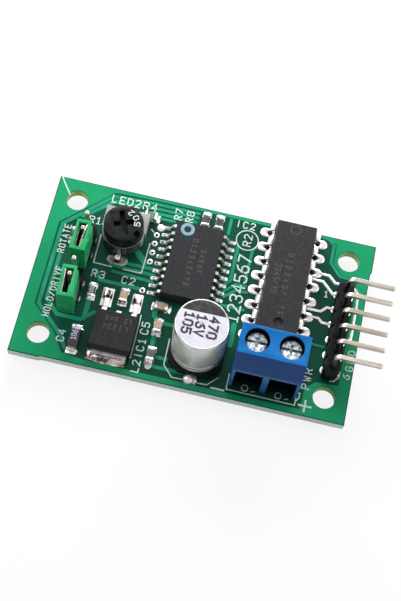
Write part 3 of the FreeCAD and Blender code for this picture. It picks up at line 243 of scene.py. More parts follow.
# Painted shade: a darkened copy of the tin pad for pads in the shade of the trimmer and the jumper
# caps
shadedPad = surface(
    "shaded_pad", (0.13, 0.14, 0.13), (0.40, 0.37, 0.36), 1.3, rough=(0.2, 0.4), metal=0.5,
    relief=(0.01, 2))
capGreen = surface(
    "cap_green", (0.006, 0.30, 0.092), (0.014, 0.39, 0.135), 0.6, rough=(0.16, 0.28),
    relief=(0.008, 3), sub=0.15, specular=0.3)
clipSilver = surface(
    "clip_silver", (0.26, 0.24, 0.22), (0.50, 0.47, 0.42), 1.2, rough=(0.2, 0.4), metal=0.9,
    relief=(0.006, 4))
resistorGlaze = surface(
    "resistor_glaze", (0.010, 0.010, 0.012), (0.06, 0.055, 0.06), 2.0, rough=(0.15, 0.35),
    coat=0.4, relief=(0.006, 7))
resistorCeramic = surface(
    "resistor_ceramic", (0.62, 0.62, 0.60), (0.80, 0.80, 0.78), 2.0, rough=(0.4, 0.6),
    relief=(0.006, 6))
ceramicTan = surface(
    "ceramic_tan", (0.30, 0.21, 0.14), (0.46, 0.36, 0.25), 2.0, rough=(0.3, 0.5),
    relief=(0.012, 9))
ferriteGrey = surface(
    "ferrite_grey", (0.055, 0.052, 0.050), (0.115, 0.110, 0.105), 2.5, rough=(0.4, 0.6),
    relief=(0.014, 9))
tantalumResin = surface(
    "tantalum_resin", (0.008, 0.009, 0.014), (0.02, 0.021, 0.03), 2.0, rough=(0.25, 0.4),
    relief=(0.008, 7))
tantalumMark = surface(
    "tantalum_mark", (0.30, 0.33, 0.48), (0.60, 0.62, 0.74), 4.0, rough=(0.3, 0.5), metal=0.3)
lightResin = surface(
    "light_resin", (0.22, 0.36, 0.28), (0.34, 0.48, 0.38), 1.5, rough=(0.1, 0.2), through=0.6)
chipRing = surface(
    "chip_ring", (0.10, 0.24, 0.30), (0.17, 0.34, 0.41), 1.6, rough=(0.4, 0.55), relief=(0.008, 8))
laserMark = surface(
    "laser_mark", (0.043, 0.040, 0.035), (0.092, 0.084, 0.070), 6.0, rough=(0.5, 0.65),
    specular=0.2)
print("materials", len(bpy.data.materials))


# Mesh tools

def finishPiece(name, form, paint, replaced=None, smooth=40, body="board"):
    mesh = toMesh(name, form)
    piece = bpy.data.objects.new(name, mesh)
    bpy.context.scene.collection.objects.link(piece)
    for coat in paint if isinstance(paint, (list, tuple)) else [paint]:
        mesh.materials.append(coat)
    mesh.shade_smooth()
    mesh.set_sharp_from_angle(angle=math.radians(smooth))
    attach(piece, body)
    if replaced:
        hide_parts(*([replaced] if isinstance(replaced, str) else replaced))
    return piece


def toMesh(name, form):
    bmesh.ops.recalc_face_normals(form, faces=form.faces)
    mesh = bpy.data.meshes.new(name)
    form.to_mesh(mesh)
    form.free()
    return mesh


def settle(piece):
    # Even shading on wide faces beside narrow rounded edges
    even = piece.modifiers.new("even", "WEIGHTED_NORMAL")
    even.keep_sharp = True
    even.weight = 80
    return piece


def rounding(form, radius, segments=2, limit=40):
    # Rounds the edges at which two faces turn by more than the limit in degrees
    bmesh.ops.recalc_face_normals(form, faces=form.faces)
    edges = [edge for edge in form.edges if len(edge.link_faces) == 2
             and edge.calc_face_angle() > math.radians(limit)]
    bmesh.ops.bevel(form, geom=edges, offset=radius * mm, offset_type="OFFSET",
                    segments=segments, profile=0.5, affect="EDGES", clamp_overlap=True)


def solidOf(node):
    form = bmesh.new()
    form.from_mesh(nodes[node].data)
    bmesh.ops.remove_doubles(form, verts=form.verts, dist=0.0005 * mm)
    return form


def softened(node, paint, radius, segments):
    # The node's own shape with its edges rounded
    form = solidOf(node)
    bmesh.ops.dissolve_limit(form, angle_limit=math.radians(1), verts=form.verts,
                             edges=form.edges)
    rounding(form, radius, segments, 28)
    bmesh.ops.triangulate(form, faces=[face for face in form.faces if len(face.verts) > 4])
    return settle(finishPiece(node + "_soft", form, paint, node,
                              body=bodyOf[node]))


def pathOf(text):
    # Points written as x,y with a space between them
    return [tuple(float(value) for value in point.split(",")) for point in text.split()]


def loopPoints(points):
    return [Vector((x * mm, y * mm, 0)) for x, y in points]


def addPlate(form, outer, holes, low, high, inset=0.0, index=0, sideIndex=None):
    # A flat plate with holes; the top edge is drawn in a little
    loops = [loopPoints(outer)] + [loopPoints(hole) for hole in holes]
    triangles = tessellate_polygon(loops)
    tops, bottoms = [], []
    for number, loop in enumerate(loops):
        shrunk = offsetLoop(loop, inset * mm * (1 if number == 0 else -1)) if inset else loop
        tops += [form.verts.new((p.x, p.y, high * mm)) for p in shrunk]
        bottoms += [form.verts.new((p.x, p.y, low * mm)) for p in loop]
    for a, b, c in triangles:
        for ring in (tops, bottoms):
            face = form.faces.new((ring[a], ring[b], ring[c]))
            face.material_index = index
    start = 0
    for loop in loops:
        count = len(loop)
        for k in range(count):
            a, b = start + k, start + (k + 1) % count
            face = form.faces.new((bottoms[a], bottoms[b], tops[b], tops[a]))
            face.material_index = index if sideIndex is None else sideIndex
        start += count


def offsetLoop(loop, distance):
    # Moves every side of a loop inwards, for either winding
    area = sum(a.x * b.y - b.x * a.y for a, b in zip(loop, loop[1:] + loop[:1]))
    turn = 1 if area > 0 else -1
    result = []
    for k, point in enumerate(loop):
        before, after = loop[k - 1], loop[(k + 1) % len(loop)]
        first, second = (point - before).normalized(), (after - point).normalized()
        normal = Vector((-first.y - second.y, first.x + second.x, 0)) * turn
        if normal.length < 1e-9:
            normal = Vector((-first.y, first.x, 0)) * turn
        normal.normalize()
        lean = max(0.4, normal.dot(Vector((-first.y, first.x, 0)) * turn))
        result.append(point + normal * distance / lean)
    return result


def circle(x, y, radius, count):
    return [(x + radius * math.cos(2 * math.pi * k / count),
             y + radius * math.sin(2 * math.pi * k / count)) for k in range(count)]


def stadium(x, y, length, width):
    radius, half, count = width / 2, (length - width) / 2, 12
    points = []
    for side, base in ((1, -math.pi / 2), (-1, math.pi / 2)):
        for k in range(count + 1):
            angle = base + math.pi * k / count
            points.append((x + half * side + radius * math.cos(angle),
                           y + radius * math.sin(angle)))
    return points


def roundedBox(x, y, length, width, radius):
    points, count = [], 5
    for sx, sy, base in ((1, -1, -90), (1, 1, 0), (-1, 1, 90), (-1, -1, 180)):
        for k in range(count + 1):
            turn = math.radians(base + 90 * k / count)
            points.append((x + sx * (length / 2 - radius) + radius * math.cos(turn),
                           y + sy * (width / 2 - radius) + radius * math.sin(turn)))
    return points


def strokeOutline(points, width, closed):
    # The outline of a line drawn with a round pen
    half, caps = width / 2, 4
    path = [Vector((x, y)) for x, y in points]
    count = len(path)
    left, right = [], []
    for k, point in enumerate(path):
        before = path[k - 1] if k or closed else None
        after = path[(k + 1) % count] if k < count - 1 or closed else None
        first = (point - before).normalized() if before is not None else None
        second = (after - point).normalized() if after is not None else None
        first, second = first or second, second or first
        normal = Vector((-first.y - second.y, first.x + second.x))
        if normal.length < 1e-6:
            normal = Vector((-first.y, first.x))
        normal.normalize()
        lean = max(0.45, normal.dot(Vector((-first.y, first.x))))
        left.append(point + normal * half / lean)
        right.append(point - normal * half / lean)
    if closed:
        return [tuple(p) for p in left], [tuple(p) for p in right]
    ends = []
    for point, away in ((path[-1], path[-1] - path[-2]), (path[0], path[0] - path[1])):
        base = math.atan2(away.y, away.x)
        ends.append([point + Vector((math.cos(base + a), math.sin(base + a))) * half
                     for a in (math.pi * (k / (caps + 1) - 0.5) for k in range(1, caps + 1))])
    outline = right + ends[0] + left[::-1] + ends[1]
    return [tuple(p) for p in outline], None


def addStroke(form, points, width, low, high, closed=False, inset=0.0):
    # A line of points, or of their text, as a raised stroke
    if isinstance(points, str):
        points = pathOf(points)
    outline, hole = strokeOutline(points, width, closed)
    if hole:
        small, big = sorted((outline, hole), key=loopArea)
        addPlate(form, big, [small], low, high, inset)
    else:
        addPlate(form, outline, [], low, high, inset)


def loopArea(points):
    return abs(sum(a[0] * b[1] - b[0] * a[1] for a, b in zip(points, points[1:] + points[:1])))


def lathe(profile, x, y, count, index):
    # A turned form about the vertical through x, y
    form = bmesh.new()
    rings = []
    for radius, height in profile:
        if radius < 1e-6:
            rings.append([form.verts.new((x * mm, y * mm, height * mm))])
        else:
            rings.append(ringAt(form, circle(x, y, radius, count), height))
    for number, (lower, upper) in enumerate(zip(rings, rings[1:])):
        for k in range(count):
            j = (k + 1) % count
            corners = [lower[k % len(lower)], lower[j % len(lower)],
                       upper[j % len(upper)], upper[k % len(upper)]]
            corners = list(dict.fromkeys(corners))
            if len(corners) > 2:
                face = form.faces.new(corners)
                face.material_index = index(number)
    return form


def spanOf(points):
    return (Vector([min(p[k] for p in points) for k in range(3)]),
            Vector([max(p[k] for p in points) for k in range(3)]))


def ringAt(form, points, level):
    return [form.verts.new((px * mm, py * mm, level * mm)) for px, py in points]


def joinRings(form, rings, index=0):
    # Walls between closed rings of equal count
    count = len(rings[0])
    for lower, upper in zip(rings, rings[1:]):
        for k in range(count):
            j = (k + 1) % count
            face = form.faces.new((lower[k], lower[j], upper[j], upper[k]))
            face.material_index = index


def rectangle(low, high, inset=0.0):
    return [(low[0] + inset, low[1] + inset), (high[0] - inset, low[1] + inset),
            (high[0] - inset, high[1] - inset), (low[0] + inset, high[1] - inset)]


def islands(node):
    # The points of each separate solid in a node
    form = solidOf(node)
    found, seen = [], set()
    for start in form.verts:
        if start in seen:
            continue
        group, waiting = [], [start]
        seen.add(start)
        while waiting:
            vertex = waiting.pop()
            group.append(vertex.co / mm)
            for edge in vertex.link_edges:
                other = edge.other_vert(vertex)
                if other not in seen:
                    seen.add(other)
                    waiting.append(other)
        found.append(group)
    form.free()
    return found


# Stroke letters on a grid four wide and six high

letters = {
    "0": ["1,0 3,0 4,1 4,5 3,6 1,6 0,5 0,1 1,0"],
    "1": ["0.6,4.6 2.2,6 2.2,0", "0.8,0 3.6,0"],
    "2": ["0,5 1,6 3,6 4,5 4,4 0,0 4,0"],
    "3": ["0,5.2 1,6 3,6 4,5 4,4 3,3.1 1.6,3.1", "3,3.1 4,2.2 4,1 3,0 1,0 0,0.9"],
    "4": ["3,0 3,6 0,2 4,2"],
    "5": ["4,6 0.3,6 0.2,3.4 3,3.6 4,2.6 4,1 3,0 1,0 0,0.9"],
    "6": ["3.6,6 1.6,5.2 0,3 0,1 1,0 3,0 4,1 4,2.4 3,3.4 1,3.4 0,2.4"],
    "7": ["0,6 4,6 1.2,0"],
    "8": ["1,3.2 0,4.1 0,5.1 1,6 3,6 4,5.1 4,4.1 3,3.2 1,3.2 0,2.2 0,1 1,0 3,0 4,1 4,2.2 3,3.2"],
    "A": ["0,0 2,6 4,0", "0.8,2 3.2,2"],
    "C": ["4,5 3,6 1,6 0,5 0,1 1,0 3,0 4,1"],
    "D": ["0,0 0,6 2.4,6 4,4.6 4,1.4 2.4,0 0,0"],
    "E": ["4,0 0,0 0,6 4,6", "0,3.1 3.2,3.1"],
    "G": ["4,5 3,6 1,6 0,5 0,1 1,0 3,0 4,1 4,2.8 2.4,2.8"],
    "H": ["0,0 0,6", "4,0 4,6", "0,3 4,3"],
    "I": ["2,0 2,6"],
    "L": ["0,6 0,0 3.8,0"],
    "N": ["0,0 0,6 4,0 4,6"],
    "P": ["0,0 0,6 3,6 4,5.1 4,3.9 3,3 0,3"],
    "R": ["0,0 0,6 3,6 4,5.1 4,3.9 3,3 0,3", "2,3 4,0"],
    "T": ["0,6 4,6", "2,6 2,0"],
    "V": ["0,6 2,0 4,6"],
    "W": ["0,6 0.9,0 2,4 3.1,0 4,6"],
    "/": ["0,0 4,6"],
    " ": [],
}
letters["O"] = letters["0"]


def addText(form, words, x, y, height, pen, low, high, angle, step, narrow=0.62):
    # Lines drawn from x, y, the lower left corner, and then turned about it
    scale = (height - pen) / 6
    wide = scale * 6 / 4 * narrow
    c, s = math.cos(math.radians(angle)), math.sin(math.radians(angle))
    for number, letter in enumerate(words):
        for part, stroke in enumerate(letters[letter]):
            top = high + 0.0008 * part + 0.0004 * (number % 2)
            path = []
            for px, py in pathOf(stroke):
                lx = pen / 2 + px * wide + number * step
                ly = pen / 2 + py * scale
                path.append((x + lx * c - ly * s, y + lx * s + ly * c))
            addStroke(form, path, pen, low, top)


# Floor, light and camera

def shownRays(tree):
    # One for every ray that sees the plain background: direct, mirrored or let through
    make, join = tree.nodes.new, tree.links.new
    ray = make("ShaderNodeLightPath")
    seen = ray.outputs["Is Camera Ray"]
    for kind in ("Is Glossy Ray", "Is Transmission Ray"):
        either = make("ShaderNodeMath")
        either.operation = "MAXIMUM"
        join(seen, either.inputs[0])
        join(ray.outputs[kind], either.inputs[1])
        seen = either.outputs[0]
    return seen


def addStage():
    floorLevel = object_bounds()[0].z - 0.0001
    form = bmesh.new()
    size = 1.6
    corners = [form.verts.new((x, y, floorLevel))
               for x, y in ((-size, -size), (size, -size), (size, size), (-size, size))]
    form.faces.new(corners)
    floor = bpy.data.objects.new("floor", toMesh("floor", form))
    bpy.context.scene.collection.objects.link(floor)
    paint = surface("pale_floor", (0.86, 0.86, 0.86), (0.90, 0.90, 0.90), 0.02,
                    rough=(0.7, 0.8), specular=0.2)
    tree = paint.node_tree
    make, join = tree.nodes.new, tree.links.new
    glow = make("ShaderNodeEmission")
    glow.inputs["Strength"].default_value = 1.0
    share = make("ShaderNodeMath")
    share.operation = "MULTIPLY"
    share.inputs[1].default_value = 0.86
    mix = make("ShaderNodeMixShader")
    join(shownRays(tree), share.inputs[0])
    join(share.outputs[0], mix.inputs[0])
    join(tree.nodes["Principled BSDF"].outputs[0], mix.inputs[1])
    join(glow.outputs[0], mix.inputs[2])
    join(mix.outputs[0], tree.nodes["Material Output"].inputs[0])
    floor.data.materials.append(paint)


def addLight(name, place, target, size, power):
    lamp = bpy.data.lights.new(name, "AREA")
    lamp.shape = "RECTANGLE"
    lamp.size, lamp.size_y = size
    lamp.energy = power
    holder = bpy.data.objects.new(name, lamp)
    bpy.context.scene.collection.objects.link(holder)
    holder.location = place
    away = Vector(place) - Vector(target)
    holder.rotation_euler = away.to_track_quat("Z", "Y").to_euler()


def addCamera():
    # Focal length and place as solved from the standard pitches in view
    focalPixels, imageHeight, sensor = 1178.8, 601, 36.0
    turn = Vector((2.69354, 0.30983, 0.03585))
    place = Vector((4.683, -75.138, 164.004)) * mm
    seen = Matrix.Rotation(turn.length, 3, turn.normalized())
    camera = bpy.data.cameras.new("camera")
    camera.lens = focalPixels * sensor / imageHeight
    camera.sensor_width = sensor
    camera.clip_start = 0.005
    camera.clip_end = 10
    holder = bpy.data.objects.new("camera", camera)
    bpy.context.scene.collection.objects.link(holder)
    axes = Matrix((seen[0], -seen[1], -seen[2])).transposed()
    holder.matrix_world = Matrix.Translation(place) @ axes.to_4x4()
    bpy.context.scene.camera = holder


def addWorld():
    world = bpy.data.worlds.new("studio")
    bpy.context.scene.world = world
    world.use_nodes = True
    tree = world.node_tree
    make, join = tree.nodes.new, tree.links.new
    back = tree.nodes["Background"]
    back.inputs["Color"].default_value = (0.90, 0.92, 0.94, 1)
    back.inputs["Strength"].default_value = 0.15
    pale = make("ShaderNodeBackground")
    pale.inputs["Color"].default_value = (1, 1, 1, 1)
    pale.inputs["Strength"].default_value = 1.0
    mix = make("ShaderNodeMixShader")
    join(shownRays(tree), mix.inputs[0])
    join(back.outputs[0], mix.inputs[1])
    join(pale.outputs[0], mix.inputs[2])
    join(mix.outputs[0], tree.nodes["World Output"].inputs[0])


bpy.context.scene.view_settings.view_transform = "Standard"
addStage()
addWorld()
addLight("rear_softbox", (-0.02, 0.155, 0.095), (0, 0.005, 0), (0.18, 0.08), 0.52)
addLight("left_softbox", (-0.30, 0.06, 0.24), (0, 0, 0), (0.2, 0.3), 0.9)
addLight("right_softbox", (0.30, 0.06, 0.19), (0, 0, 0), (0.2, 0.3), 0.7)
addCamera()
print("stage, light and camera")


# Circuit board: laminate with drilled holes, copper under the mask, print

halfX, halfY = 25.3, 15.1
mountX, mountY, mountRadius = 21.7, 11.5, 1.7
driver = {"x": 12.6, "y": 4.48, "span": 7.62, "rows": 8}
header = {"x": 21.8, "y": -1.0, "pins": 6}
jumperX = -18.43
jumperRows = (4.14, -3.48)
trimmer = {"x": -13.22, "y": 6.98, "side": 2.5, "rear": 0.95, "front": 4.05}
terminal = {"x": 12.53, "side": 2.5, "contactY": -7.55}


def column(x, y, count, pitch=2.54):
    return [(x, y + pitch * (k - (count - 1) / 2)) for k in range(count)]


driverHoles = [spot for side in (-1, 1) for spot in column(
    driver["x"] + side * driver["span"] / 2, driver["y"], driver["rows"])]
headerHoles = column(header["x"], header["y"], header["pins"])
jumperHoles = [spot for y in jumperRows for spot in column(jumperX, y, 2)]
trimmerHoles = [(trimmer["x"] + side * trimmer["side"], trimmer["y"] + trimmer["rear"])
                for side in (-1, 1)] + [(trimmer["x"], trimmer["y"] - trimmer["front"])]
screwXs = [terminal["x"] + side * terminal["side"] for side in (-1, 1)]
leadHoles = [(x, y, radius) for spots, radius in (
    (driverHoles, 0.43), (headerHoles + jumperHoles + trimmerHoles, 0.5),
    ([(x, terminal["contactY"]) for x in screwXs], 0.65)) for x, y in spots]
vias = [(-8.3, 8.6), (-8.3, 7.1), (-8.3, 5.5), (-8.3, 3.9), (-8.3, -1.1)]
mountHoles = [(sx * mountX, sy * mountY) for sx in (-1, 1) for sy in (-1, 1)]
boardOutline = [(-halfX, -halfY - 0.2), (-halfX + 4.6, -halfY - 0.2), (-halfX + 5.0, -halfY),
                (halfX, -halfY), (halfX, halfY - 5.0), (halfX + 0.2, halfY - 4.6),
                (halfX + 0.2, halfY), (-halfX, halfY)]


def makeBoard():
    form = bmesh.new()
    holes = [circle(x, y, mountRadius, 48) for x, y in mountHoles]
    holes += [circle(x, y, radius, 20) for x, y, radius in leadHoles]
    holes += [circle(x, y, 0.22, 12) for x, y in vias]
    edge = 0.04
    addPlate(form, boardOutline, holes, edge, boardTop - edge, 0.0, 0, 1)
    # Walls of the mounting holes take paint 2; walls of the lead holes and vias take paint 3,
    # painted shade
    for face in form.faces:
        middle = face.calc_center_median() / mm
        if abs(face.normal.z) > 0.5 or abs(middle.z - boardTop / 2) > boardTop / 2 - edge * 1.5:
            continue
        away = min(math.hypot(middle.x - x, middle.y - y) for x, y in mountHoles)
        if away < mountRadius + 0.1:
            face.material_index = 2
        elif min(math.hypot(middle.x - x, middle.y - y)
                 for x, y in [hole[:2] for hole in leadHoles] + vias) < 0.8:
            face.material_index = 3
    # Mask on both faces, with a slightly drawn-in edge
    for low, high, inset in ((boardTop - edge, boardTop, 0.03), (edge, 0.0, 0.03)):
        addPlate(form, boardOutline, holes, low, high, inset, 0)
    finishPiece("board_laminate", form,
                [maskDark, laminateEdge, holeWall, drilledHoleShade], "circuit_board", smooth=30)


mask = 0.02  # how far masked copper stands above the laminate


def makePour():
    inner = pathOf("-23.45,7.15 -16.2,14.3 -9.5,14.5 18.3,14.5 19.4,13.9 19.4,10.5 20.95,8.9 "
                   "23.45,8.8 23.45,-9.2 20.1,-9.4 18.6,-10.7 18.4,-14.15 5,-14.2 -7,-14.15 "
                   "-14.6,-14.15 -17.6,-13.75 -19.3,-11 -22.25,-8.15 -23.45,-7")
    outer = [tuple(p / mm)[:2] for p in offsetLoop(loopPoints(boardOutline), 0.14 * mm)]
    holes = [inner] + [circle(x, y, mountRadius + 0.05, 48) for x, y in mountHoles]
    form = bmesh.new()
    addPlate(form, outer, holes, boardTop, boardTop + mask, 0.02)
    under = [circle(x, y, mountRadius + 0.05, 48) for x, y in mountHoles]
    under += [circle(x, y, radius + 0.75, 24) for x, y, radius in leadHoles]
    addPlate(form, outer, under, 0.0, -mask, 0.02)
    finishPiece("copper_pour", form, maskPour, smooth=30)


tracks = [
    # around the left side and to the tantalum chip
    (0.62, "-9.6,13.95 -16.3,13.6 -22.88,7 -22.88,-6.85 -21.9,-7.85 -18.85,-10.7 -17.3,-12.9"),
    (0.62, "-9.6,13.15 -15.9,12.85 -19.4,9.6 -20.2,9"),
    (0.62, "-21.9,1.9 -21.9,-5.9 -19.8,-7.98 -16.2,-7.98 -14.4,-6.35"),
    (0.75, "-15.72,-4.9 -15.72,-7.7"),
    (0.6, "-16,0.55 -15.3,-0.3 -15,-0.95 -8.9,-0.95"),
    # between the trimmer and the controller
    (0.95, "-10.9,5.35 -9,3.5"),
    (0.55, "-11.4,2.75 -7.2,2.75"),
    (0.55, "-14,1.95 -7.2,1.75"),
    (0.55, "-13.4,0.95 -7.2,0.6"),
    (0.45, "-17,8.35 -16.7,8.35"),
    # behind the controller
    (0.55, "-9.6,12.35 -2.9,12.35"),
    (0.55, "-9.4,13.95 -2.7,13.95"),
    (0.55, "-9.4,13.15 -2.7,13.15"),
    (0.5, "-8.8,11.6 -6.2,11.6"),
    # between the controller and the driver
    (0.5, "2.45,14.2 2.45,11.6"),
    (0.55, "4.38,9.9 4.38,3.8 3.7,3.1"),
    (0.5, "7.4,10.6 6.7,9.7 6.62,4"),
    (0.5, "3.8,1.85 5.3,3.35 6.9,3.4"),
    (0.5, "3.9,0.9 5.4,2.3 7.2,2.4"),
    (0.5, "3.9,-0.6 7.3,-0.6"),
    # around the can
    (0.85, "6.45,-3.3 6.45,-6.7"),
    (0.6, "-3.9,-5.65 -2.4,-5.65"),
    (0.6, "-3.9,-11.2 -2.3,-11.2"),
    (0.6, "-3.9,-12.75 0.6,-12.75"),
    (0.75, "-4.8,-8.1 -4.8,-9.2"),
    (0.75, "-5.6,-4 -5.6,-4.7 -5.1,-5.2"),
    # rear right corner
    (0.5, "16.9,14.75 18.2,14.45 19,13.7 19,10.5 20.75,8.6 22,8.55"),
    (0.45, "23.8,7.85 24.95,6.8"),
    (0.4, "18.3,-3.5 20.3,-3.6"),
]
tinned = [
    (0.46, "17.7,8.38 19.15,8.36 20.2,7.32 23,7.3 24.02,6.3 24.02,-1.25 23,-2.27"),
    (0.46, "16.5,7.12 18.35,7.14 20.1,5.4 21,5.35"),
    (0.46, "16.5,2.08 18.8,2.08 19.65,2.95 20.8,2.9"),
    (0.46, "17.5,0.88 18.7,0.86 19.3,0.3 20.8,0.3"),
]


def makeTracks():
    form = bmesh.new()
    for number, (width, path) in enumerate(tracks):
        addStroke(form, path, width, boardTop, boardTop + mask + 0.0012 * (number + 1), inset=0.02)
    under = [[(x * 0.92, y * 0.9) for x, y in pathOf(path)] for _, path in tracks[1:18]]
    for number, path in enumerate(under):
        addStroke(form, path, 0.5, 0.0, -mask - 0.0012 * (number + 1), inset=0.02)
    finishPiece("masked_tracks", form, maskTrack, smooth=30)
    form = bmesh.new()
    for number, (width, path) in enumerate(tinned):
        addStroke(form, path, width, boardTop, boardTop + 0.058 + 0.0012 * number, inset=0.05)
    finishPiece("tinned_tracks", form, tinPad, smooth=50)


def makePads():
    form = bmesh.new()
    high = boardTop + 0.05
    for x, y in driverHoles + headerHoles:
        addPlate(form, stadium(x, y, 3.05, 1.55), [circle(x, y, 0.42, 20)], boardTop, high, 0.06)
    # Jumper and trimmer pads take the second paint, the painted shade
    for x, y in jumperHoles:
        addPlate(form, stadium(x + 0.12, y, 2.6, 1.5), [circle(x, y, 0.42, 20)], boardTop, high,
                 0.06, 1)
    for x, y in trimmerHoles:
        long = 3.3 if x == trimmer["x"] else 1.75
        addPlate(form, stadium(x, y, long, 1.7), [circle(x, y, 0.5, 20)], boardTop, high, 0.06, 1)
    for x, y in vias:
        addPlate(form, circle(x, y, 0.48, 24), [circle(x, y, 0.2, 12)], boardTop, high, 0.05)
    addPlate(form, circle(-7.95, 10.0, 0.62, 24), [], boardTop, high, 0.06)
    for x, y, radius in leadHoles:
        addPlate(form, circle(x, y, radius + 0.5, 24), [circle(x, y, radius, 20)],
                 0.0, -0.05, 0.05)
    finishPiece("hole_pads", form, [tinPad, shadedPad], "tinned_pads", smooth=50)


silkWords = [
    # words, place of the first letter, height, turn, step, then width and pen where they differ
    ("R2", 6.3, 10.15, 1.35, 90, 1.2),
    ("LED2", -16.5, 12.5, 1.4, 0, 1.22),
    ("R4", -11.5, 12.5, 1.4, 0, 1.3),
    ("R1", -19.1, 8.15, 1.3, 0, 1.05),
    ("R3", -16.45, -0.72, 1.3, 0, 1.2),
    ("C2", -11.75, -0.72, 1.3, 0, 1.2),
    ("R7", -5.15, 12.0, 1.25, 90, 1.15),
    ("R8", -3.35, 12.0, 1.25, 90, 1.15),
    ("IC2", 3.25, 13.15, 1.25, 0, 1.15),
    ("C4", -17.65, -12.15, 1.25, 90, 1.1),
    ("C5", -5.8, -8.1, 1.3, 90, 1.15),
    ("IC1", -5.8, -12.0, 1.25, 90, 1.15),
    ("L2", -5.8, -14.3, 1.25, 90, 1.1),
    ("ROTATE", -21.4, 2.05, 1.1, 90, 0.87, 0.52, 0.15),
    ("HOLD/DRIVE", -20.85, -8.75, 1.1, 90, 0.87, 0.52, 0.15),
    ("1234567", 6.9, -3.1, 2.1, 90, 1.72, 0.6, 0.24),
    ("PWR", 19.35, -10.9, 1.3, 90, 1.25),
    ("1", 18.75, 4.55, 1.15, 0, 1),
    ("6", 24.85, -8.0, 1.15, 80, 1),
    ("GND", 25.2, -6.55, 1.2, 90, 1.28),
]


def makeSilk():
    form = bmesh.new()
    low, high = boardTop + 0.005, boardTop + 0.052
    pen = 0.17
    count = [0]

    def line(path, width=pen, closed=False):
        count[0] += 1
        addStroke(form, path, width, low, high + 0.0008 * (count[0] % 9), closed)

    line("-24.95,15 -24.55,14.3 -23.1,12.25", 0.2)
    line("-16.65,6.6 -16.6,1.66 -13.75,1.6")
    line("-11.95,1.62 -9.1,1.62 -8.98,6.9")
    line("-9.3,9.35 -8.85,8.95")
    line("-7.5,-5.2 -7.5,-12.3")
    line("-2.5,-7.9 -2.42,-12.1 -0.9,-13.75 0.7,-13.72")
    line("2.95,-13.75 4.4,-13.68 5.85,-12.2")
    line("7.32,-11.2 7.32,-13.66 17.6,-13.72 17.65,-12.6")
    line("17.6,-11.75 18.12,-11.72 18.02,-12.6 17.65,-13.05")
    for x in (9.95, 14.98):
        line(circle(x, -12.85, 0.48, 16), 0.16, True)
        line([(x + 1.0, -13.2), (x + 1.5, -13.05)], 0.14)
    line("5.1,-13.97 7,-13.97", 0.24)
    line("18.2,-13.5 20,-13.5", 0.3)
    line("19.1,-12.65 19.1,-14.35", 0.3)
    line("23.35,-7 23.3,-7.9 22.6,-8.7 22.1,-8.78")
    line(circle(5.57, 11.2, 1.72, 40), 0.17, True)
    for words, x, y, height, turn, step, *drawn in silkWords:
        narrow, width = drawn or (0.62, pen)
        addText(form, words, x, y, height, width, low, high, turn, step, narrow)
    finishPiece("board_print", form, silk, smooth=30)


makeBoard()
makePour()
makeTracks()
makePads()
makeSilk()
print("board")


# Parts that keep their own shape, with rounded edges

rounded = {
    # paint, radius in mm and number of segments
    "driver_body": (driverEpoxy, 0.14, 3), "driver_leads": (shoulderTin, 0.05, 2),
    "regulator_body": (chipEpoxy, 0.09, 2), "regulator_tab": (tinPad, 0.06, 2),
    "regulator_leads": (tinLead, 0.08, 2), "capacitor_base": (basePlate, 0.1, 2),
    "capacitor_leads": (tinLead, 0.05, 2), "trimmer_housing": (trimmerResin, 0.12, 3),
    "trimmer_pins": (tinLead, 0.05, 2), "trimmer_track": (carbonInk, 0.04, 1),
    "trimmer_rotor": (rotorBlack, 0.1, 2), "trimmer_wiper": (springBrass, 0.03, 1),
    "terminal_housing": (terminalBlue, 0.12, 3), "terminal_screw_minus": (screwChromeAndReflection, 0.1, 2),
    "terminal_screw_plus": (screwChromeAndReflection, 0.1, 2), "terminal_cage_minus": (cageZinc, 0.1, 2),
    "terminal_cage_plus": (cageZinc, 0.1, 2), "terminal_contacts": (springBrass, 0.05, 2),
    "header_strip": (stripBlack, 0.1, 2), "header_pins": (pinGold, 0.06, 2),
    "direction_strip": (stripBlack, 0.1, 2), "direction_pins": (pinGold, 0.06, 2),
    "direction_cap": (capGreen, 0.14, 3), "direction_clip": (clipSilver, 0.04, 2),
    "run_strip": (stripBlack, 0.1, 2), "run_pins": (pinGold, 0.06, 2),
    "run_cap": (capGreen, 0.14, 3), "run_clip": (clipSilver, 0.04, 2),
}
chipParts = {
    # paint, radius and segments of the body, then paint and radius of its ends
    # The pull-up resistor sits under a jumper, so its ends take painted shade
    "resistor_pullup": (resistorGlaze, 0.04, 2, shadedPad, 0.1),
    "resistor_input": (resistorCeramic, 0.04, 2, solderAndGlints, 0.1),
    "resistor_clock": (resistorCeramic, 0.04, 2, solderAndGlints, 0.1),
    "resistor_speed": (resistorCeramic, 0.04, 2, solderAndGlints, 0.1),
    "ceramic_input": (ceramicTan, 0.08, 2, solderAndGlints, 0.12),
    "ceramic_controller": (ceramicTan, 0.08, 2, solderAndGlints, 0.12),
    "ceramic_output": (ceramicTan, 0.08, 2, solderAndGlints, 0.12),
    "ferrite_bead": (ferriteGrey, 0.08, 2, solderAndGlints, 0.12),
    "status_light": (lightResin, 0.1, 3, tinPad, 0.1),
}
for node, look in chipParts.items():
    rounded[node] = look[:3]
for node, look in chipParts.items():
    rounded[node + "_ends"] = (*look[3:], 3)
pieces = {node: softened(node, *look) for node, look in rounded.items()}


